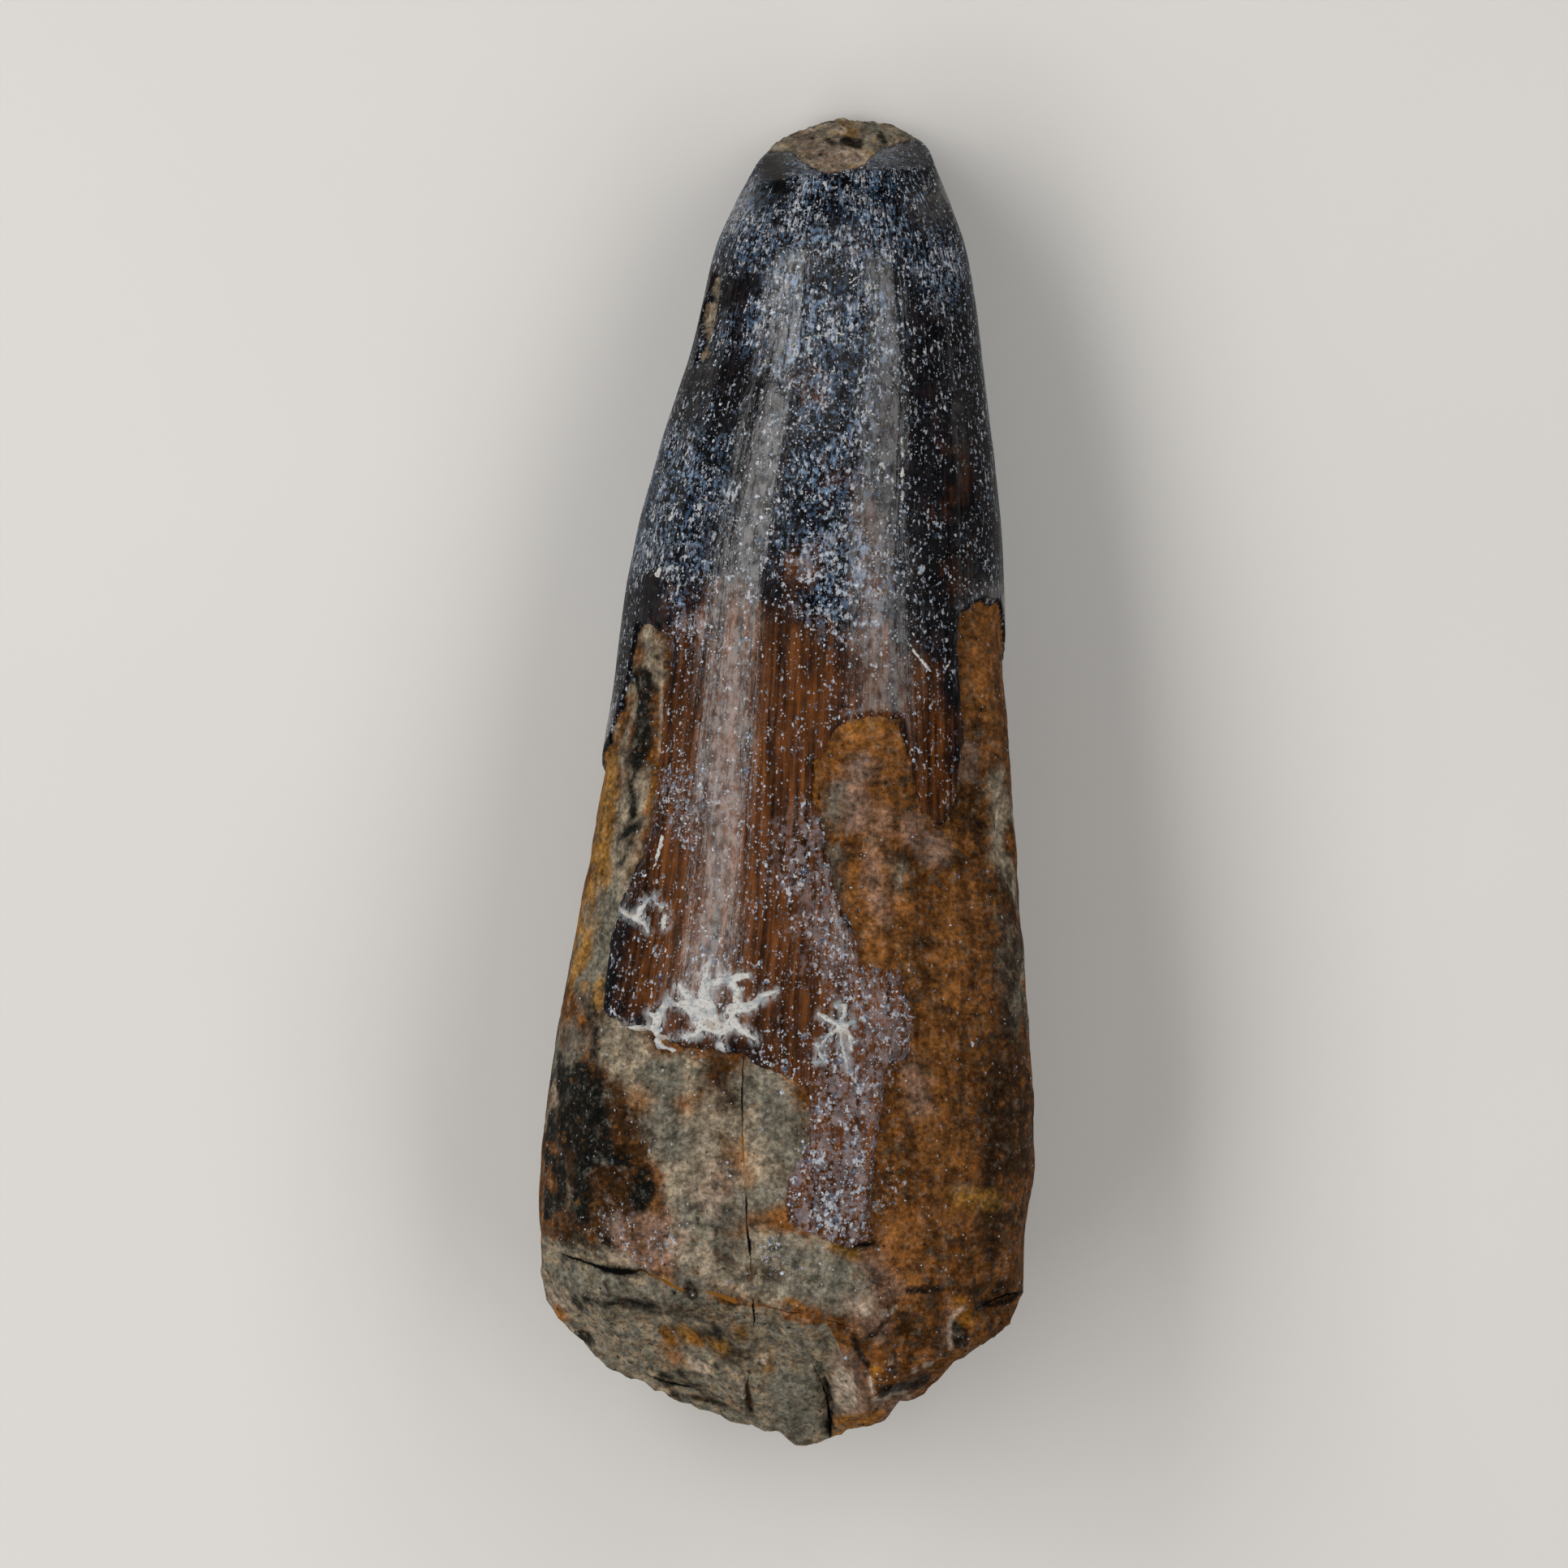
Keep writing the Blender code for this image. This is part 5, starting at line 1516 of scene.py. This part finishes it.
def grain_tree(settings, material):
    """Geometry nodes that strew flattened grains over a surface, by its density attribute."""
    tree = bpy.data.node_groups.new("mineral_grains", "GeometryNodeTree")
    tree.interface.new_socket("Geometry", in_out="INPUT", socket_type="NodeSocketGeometry")
    sizes = {
        "Per square metre": settings.density / MM**2,
        "Smallest": settings.smallest,
        "Largest": settings.largest,
    }
    for name in sizes:
        tree.interface.new_socket(name, in_out="INPUT", socket_type="NodeSocketFloat")
    tree.interface.new_socket("Seed", in_out="INPUT", socket_type="NodeSocketInt")
    tree.interface.new_socket("Geometry", in_out="OUTPUT", socket_type="NodeSocketGeometry")

    def add(kind, inputs, **options):
        """Adds a node with its options set and its inputs linked or set, and gives its outputs."""
        node = tree.nodes.new(kind)
        for name, value in options.items():
            setattr(node, name, value)
        for key, value in inputs.items():
            if isinstance(value, bpy.types.NodeSocket):
                tree.links.new(value, node.inputs[key])
            else:
                node.inputs[key].default_value = value
        return node.outputs

    given = add("NodeGroupInput", {})
    density = add("GeometryNodeInputNamedAttribute", {"Name": "grains"}, data_type="FLOAT")
    thick = add("ShaderNodeMath", {0: density[0], 1: given["Per square metre"]}, operation="MULTIPLY")
    surface = {"Mesh": given["Geometry"], "Density": thick[0], "Seed": given["Seed"]}
    strewn = add("GeometryNodeDistributePointsOnFaces", surface)
    ball = add("GeometryNodeMeshIcoSphere", {"Radius": 0.5, "Subdivisions": 1})
    size = add("FunctionNodeRandomValue", {2: given["Smallest"], 3: given["Largest"]}, data_type="FLOAT")
    flattest, fullest = GRAIN_SHAPES
    shape = {0: flattest, 1: fullest, "Seed": SHAPE_SEED}
    shape = add("FunctionNodeRandomValue", shape, data_type="FLOAT_VECTOR")
    scale = add("ShaderNodeVectorMath", {0: shape[0], "Scale": size[1]}, operation="SCALE")
    grain = {"Instance": ball["Mesh"], "Rotation": strewn["Rotation"], "Scale": scale[0]}
    placed = add("GeometryNodeInstanceOnPoints", {"Points": strewn["Points"], **grain})
    shade = add("FunctionNodeRandomValue", {"Seed": SHADE_SEED}, data_type="FLOAT")
    shaded = {"Geometry": placed[0], "Name": "shade", "Value": shade[1]}
    shaded = add("GeometryNodeStoreNamedAttribute", shaded, data_type="FLOAT", domain="INSTANCE")
    real = add("GeometryNodeRealizeInstances", {"Geometry": shaded[0]})
    painted = add("GeometryNodeSetMaterial", {"Geometry": real[0], "Material": material})
    add("NodeGroupOutput", {0: painted[0]})
    return tree, sizes


def crust_field(across, along, strokes):
    """How far inside the crust's strokes points lie as seen from above, in millimetres."""
    field = np.full(len(across), -1.0)
    for start, end, *path in strokes:
        runs = len(path) - 1
        for index, ((across_a, along_a), (across_b, along_b)) in enumerate(zip(path, path[1:])):
            step = across_b - across_a, along_b - along_a
            share, distance = share_of_run(step, (across - across_a, along - along_a))
            radius = start + (end - start) * (index + share) / runs
            field = np.maximum(field, radius - distance)
    for centre, centre_along, radius in CRUST_HOLES:
        field = np.minimum(field, np.hypot(across - centre, along - centre_along) - radius)
    return field


def crust_mesh(shape, slide):
    """A thin closed sheet over the enamel, with its edge sunk into the surface."""
    strokes = CRUST_STROKES + SCRATCHES
    spots = np.array([spot for _, _, *path in strokes for spot in path])
    low, high = spots.min(0) - CRUST_MARGIN, spots.max(0) + CRUST_MARGIN
    counts = np.ceil((high - low) / CRUST_STEP).astype(int)
    across, along = np.meshgrid(*(np.linspace(*ends) for ends in zip(low, high, counts)), indexing="ij")
    field = crust_field(across.ravel(), along.ravel(), strokes)
    near = field > -CRUST_NEAR
    flat = np.column_stack((across.ravel(), along.ravel(), np.zeros(across.size)))
    for size, reach in CRUST_ROUGH:
        field[near] += reach * rough(flat[near], size)
    inside = (field > -CRUST_STEP).reshape(across.shape)
    kept = inside[:-1, :-1] & inside[1:, :-1] & inside[1:, 1:] & inside[:-1, 1:]
    numbers = np.arange(across.size).reshape(across.shape)
    corners = (numbers[:-1, :-1], numbers[1:, :-1], numbers[1:, 1:], numbers[:-1, 1:])
    quads = np.column_stack([corner[kept] for corner in corners])
    used, quads = np.unique(quads, return_inverse=True)
    quads = quads.reshape(-1, 4)
    turn = turn_of(flat[used, 0], flat[used, 1])
    places, outward, _ = side_places(turn, flat[used, 1], shape)
    lumps = 1 + CRUST_LUMPS[1] * rough(flat[used], CRUST_LUMPS[0], 2)
    rise = np.minimum(field[used] * CRUST_RISE + CRUST_LIP, CRUST_THICK) * lumps
    height = np.where(field[used] > 0, rise, -CRUST_LIP)
    top = places + outward * height[:, None]
    bottom = places - outward * CRUST_SUNK
    count = len(used)
    edges = {(a, b) for quad in quads.tolist() for a, b in zip(quad, quad[1:] + quad[:1])}
    walls = [(b, a, a + count, b + count) for a, b in sorted(edges) if (b, a) not in edges]
    faces = quads.tolist() + (quads[:, ::-1] + count).tolist() + walls
    return mesh_of("white_crust", np.vstack((top, bottom)), faces, slide)


class TOOTH_OT_body(bpy.types.Operator):
    """Makes the tooth with its enamel, bare dentine, broken root and worn tip"""

    bl_idname = "fossil.body"
    bl_label = "Make the tooth"

    def execute(self, context):
        shape, colours = context.scene.tooth_shape, context.scene.tooth_colours
        skin, outside = tooth_skin(shape)
        places = np.vstack(skin.places)
        middle = (places.min(0) + places.max(0)) / 2
        target = (np.array(CAD_LOW) + np.array(CAD_HIGH)) / 2 / MM
        slide = np.array((target[0] - middle[0], target[1] - middle[1], 0.0))
        PLACED["slide"] = slide
        mesh = mesh_of("fossil_tooth", places, np.vstack(skin.faces).tolist(), slide)
        mesh.shade_smooth()
        mesh.set_sharp_from_angle(angle=math.radians(SHARP_ANGLE))
        fields, wrapped = tooth_fields(skin, outside)
        for name, values in fields.items():
            store(mesh, name, values)
        store(mesh, "wrapped", wrapped)
        piece = show("fossil_tooth", mesh, tooth_material(colours))
        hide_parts(NODE)
        return {"FINISHED"}


class TOOTH_OT_grains(bpy.types.Operator):
    """Strews small raised mineral grains over the enamel"""

    bl_idname = "fossil.grains"
    bl_label = "Make the grains"

    def execute(self, context):
        settings, colours = context.scene.tooth_grains, context.scene.tooth_colours
        material = grain_material(colours)
        tree, sizes = grain_tree(settings, material)
        host = bpy.data.objects.new("grain_host", bpy.data.objects["fossil_tooth"].data)
        context.scene.collection.objects.link(host)
        modifier = host.modifiers.new("grains", "NODES")
        modifier.node_group = tree
        sockets = {item.name: item.identifier for item in tree.interface.items_tree if item.in_out == "INPUT"}
        for name, value in sizes.items():
            modifier[sockets[name]] = value
        modifier[sockets["Seed"]] = settings.seed
        grains = bpy.data.meshes.new_from_object(host.evaluated_get(context.evaluated_depsgraph_get()))
        bpy.data.objects.remove(host, do_unlink=True)
        if not grains.vertices:
            raise RuntimeError("no grains were strewn")
        grains.name = "mineral_grains"
        show("mineral_grains", grains, material)
        return {"FINISHED"}


class TOOTH_OT_crust(bpy.types.Operator):
    """Makes the white crust and the light scratches"""

    bl_idname = "fossil.crust"
    bl_label = "Make the crust"

    def execute(self, context):
        mesh = crust_mesh(context.scene.tooth_shape, PLACED["slide"])
        mesh.shade_smooth()
        show("white_crust", mesh, crust_material(context.scene.tooth_colours))
        return {"FINISHED"}


def studio_floor(colour):
    """A round floor that curves up at its rim."""
    profile = [(0.0, 0.0), (FLOOR_FLAT * 0.5, 0.0)]
    for step in range(COVE_STEPS + 1):
        angle = math.pi / 2 * step / COVE_STEPS
        profile.append((FLOOR_FLAT + FLOOR_COVE * math.sin(angle), FLOOR_COVE * (1 - math.cos(angle))))
    places, faces = [(0.0, 0.0, 0.0)], []
    for radius, height in profile[1:]:
        for side in range(FLOOR_SIDES):
            angle = math.tau * side / FLOOR_SIDES
            places.append((radius * math.cos(angle), radius * math.sin(angle), height))
    for side in range(FLOOR_SIDES):
        after = (side + 1) % FLOOR_SIDES
        faces.append((0, 1 + side, 1 + after))
        for ring in range(len(profile) - 2):
            low, high = 1 + ring * FLOOR_SIDES, 1 + (ring + 1) * FLOOR_SIDES
            faces.append((low + side, high + side, high + after, low + after))
    mesh = bpy.data.meshes.new("floor")
    mesh.from_pydata(places, [], faces)
    mesh.shade_smooth()
    n = Nodes("floor")
    here = n.places()
    paper = n.clouds(here, 40.0, 3.0)
    shade = n.shades(paper, (0.3, darker(colour, 0.98)), (0.7, darker(colour, 1.02)))
    mesh.materials.append(n.finish(shade, 0.9, n.times(n.clouds(here, 1.5), 0.01), 0.1))
    floor = bpy.data.objects.new("floor", mesh)
    bpy.context.scene.collection.objects.link(floor)
    return floor


def aimed_light(name, turned, away, wide, long, power):
    """A rectangular light that faces the tooth from where straight up is brought by the turn."""
    light = bpy.data.lights.new(name, "AREA")
    light.shape, light.size, light.size_y, light.energy = "RECTANGLE", wide, long, power
    light.color = WARM_LIGHT
    lamp = bpy.data.objects.new(name, light)
    lamp.rotation_euler = turned
    lamp.location = Euler(turned).to_matrix() @ Vector((0.0, 0.0, away))
    bpy.context.scene.collection.objects.link(lamp)
    return lamp


def room_light(strength):
    """Even light from all round."""
    world = bpy.data.worlds.new("room")
    world.use_nodes = True
    background = world.node_tree.nodes["Background"]
    background.inputs["Color"].default_value = (*ROOM_COLOUR, 1.0)
    background.inputs["Strength"].default_value = strength
    return world


def camera_above(slide):
    """A camera with a long lens that looks straight down on the tooth."""
    data = bpy.data.cameras.new("camera")
    data.lens, data.sensor_width = CAMERA_LENS, CAMERA_SENSOR
    data.clip_start, data.clip_end = CAMERA_NEAR, CAMERA_FAR
    camera = bpy.data.objects.new("camera", data)
    height = (CAD_LOW[2] + CAD_HIGH[2]) / 2 + FRAME_WIDTH * CAMERA_LENS / CAMERA_SENSOR
    camera.location = (FRAME_MIDDLE[0] + slide[0], FRAME_MIDDLE[1] + slide[1], height)
    return camera


class TOOTH_OT_studio(bpy.types.Operator):
    """Makes the floor, the lights, the room light and the camera"""

    bl_idname = "fossil.studio"
    bl_label = "Make the studio"

    def execute(self, context):
        settings, scene = context.scene.tooth_studio, context.scene
        studio_floor(settings.floor)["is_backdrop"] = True
        for index, (turn, share) in enumerate(STRIPS):
            turned = (0.0, math.radians(turn), 0.0)
            aimed_light(f"strip_{index}", turned, STRIP_AWAY, STRIP_WIDE, STRIP_LONG, settings.key * share)
        for index, turn in enumerate(END_TURNS):
            turned = (math.radians(turn), 0.0, 0.0)
            aimed_light(f"end_{index}", turned, END_AWAY, END_SIZE, END_SIZE, settings.fill)
        scene.world = room_light(settings.sky)
        scene.camera = camera_above(PLACED["slide"] * MM)
        scene.collection.objects.link(scene.camera)
        scene.view_settings.view_transform = "Standard"
        scene.view_settings.look = "None"
        return {"FINISHED"}


class TOOTH_PT_panel(bpy.types.Panel):
    """Lists the pieces of the fossil tooth"""

    bl_label = "Fossil tooth"
    bl_space_type = "VIEW_3D"
    bl_region_type = "UI"
    bl_category = "Fossil"

    def draw(self, context):
        for group, operator in PANEL_ROWS:
            box = self.layout.box()
            settings = getattr(context.scene, group)
            for name in settings.bl_rna.properties.keys():
                if name not in ("rna_type", "name"):
                    box.prop(settings, name)
            box.operator(operator)


PANEL_ROWS = (
    ("tooth_shape", "fossil.body"),
    ("tooth_grains", "fossil.grains"),
    ("tooth_colours", "fossil.crust"),
    ("tooth_studio", "fossil.studio"),
)
GROUPS = {
    "tooth_shape": ToothShape,
    "tooth_colours": ToothColours,
    "tooth_grains": GrainSettings,
    "tooth_studio": StudioSettings,
}
OPERATORS = (TOOTH_OT_body, TOOTH_OT_grains, TOOTH_OT_crust, TOOTH_OT_studio)


def register():
    for kind in (*GROUPS.values(), *OPERATORS, TOOTH_PT_panel):
        bpy.utils.register_class(kind)
    for name, group in GROUPS.items():
        setattr(bpy.types.Scene, name, bpy.props.PointerProperty(type=group))


def unregister():
    for name in GROUPS:
        delattr(bpy.types.Scene, name)
    for kind in (TOOTH_PT_panel, *OPERATORS, *GROUPS.values()):
        bpy.utils.unregister_class(kind)


def main():
    register()
    bpy.ops.fossil.body()
    bpy.ops.fossil.grains()
    bpy.ops.fossil.crust()
    bpy.ops.fossil.studio()


if __name__ == "__main__":
    main()
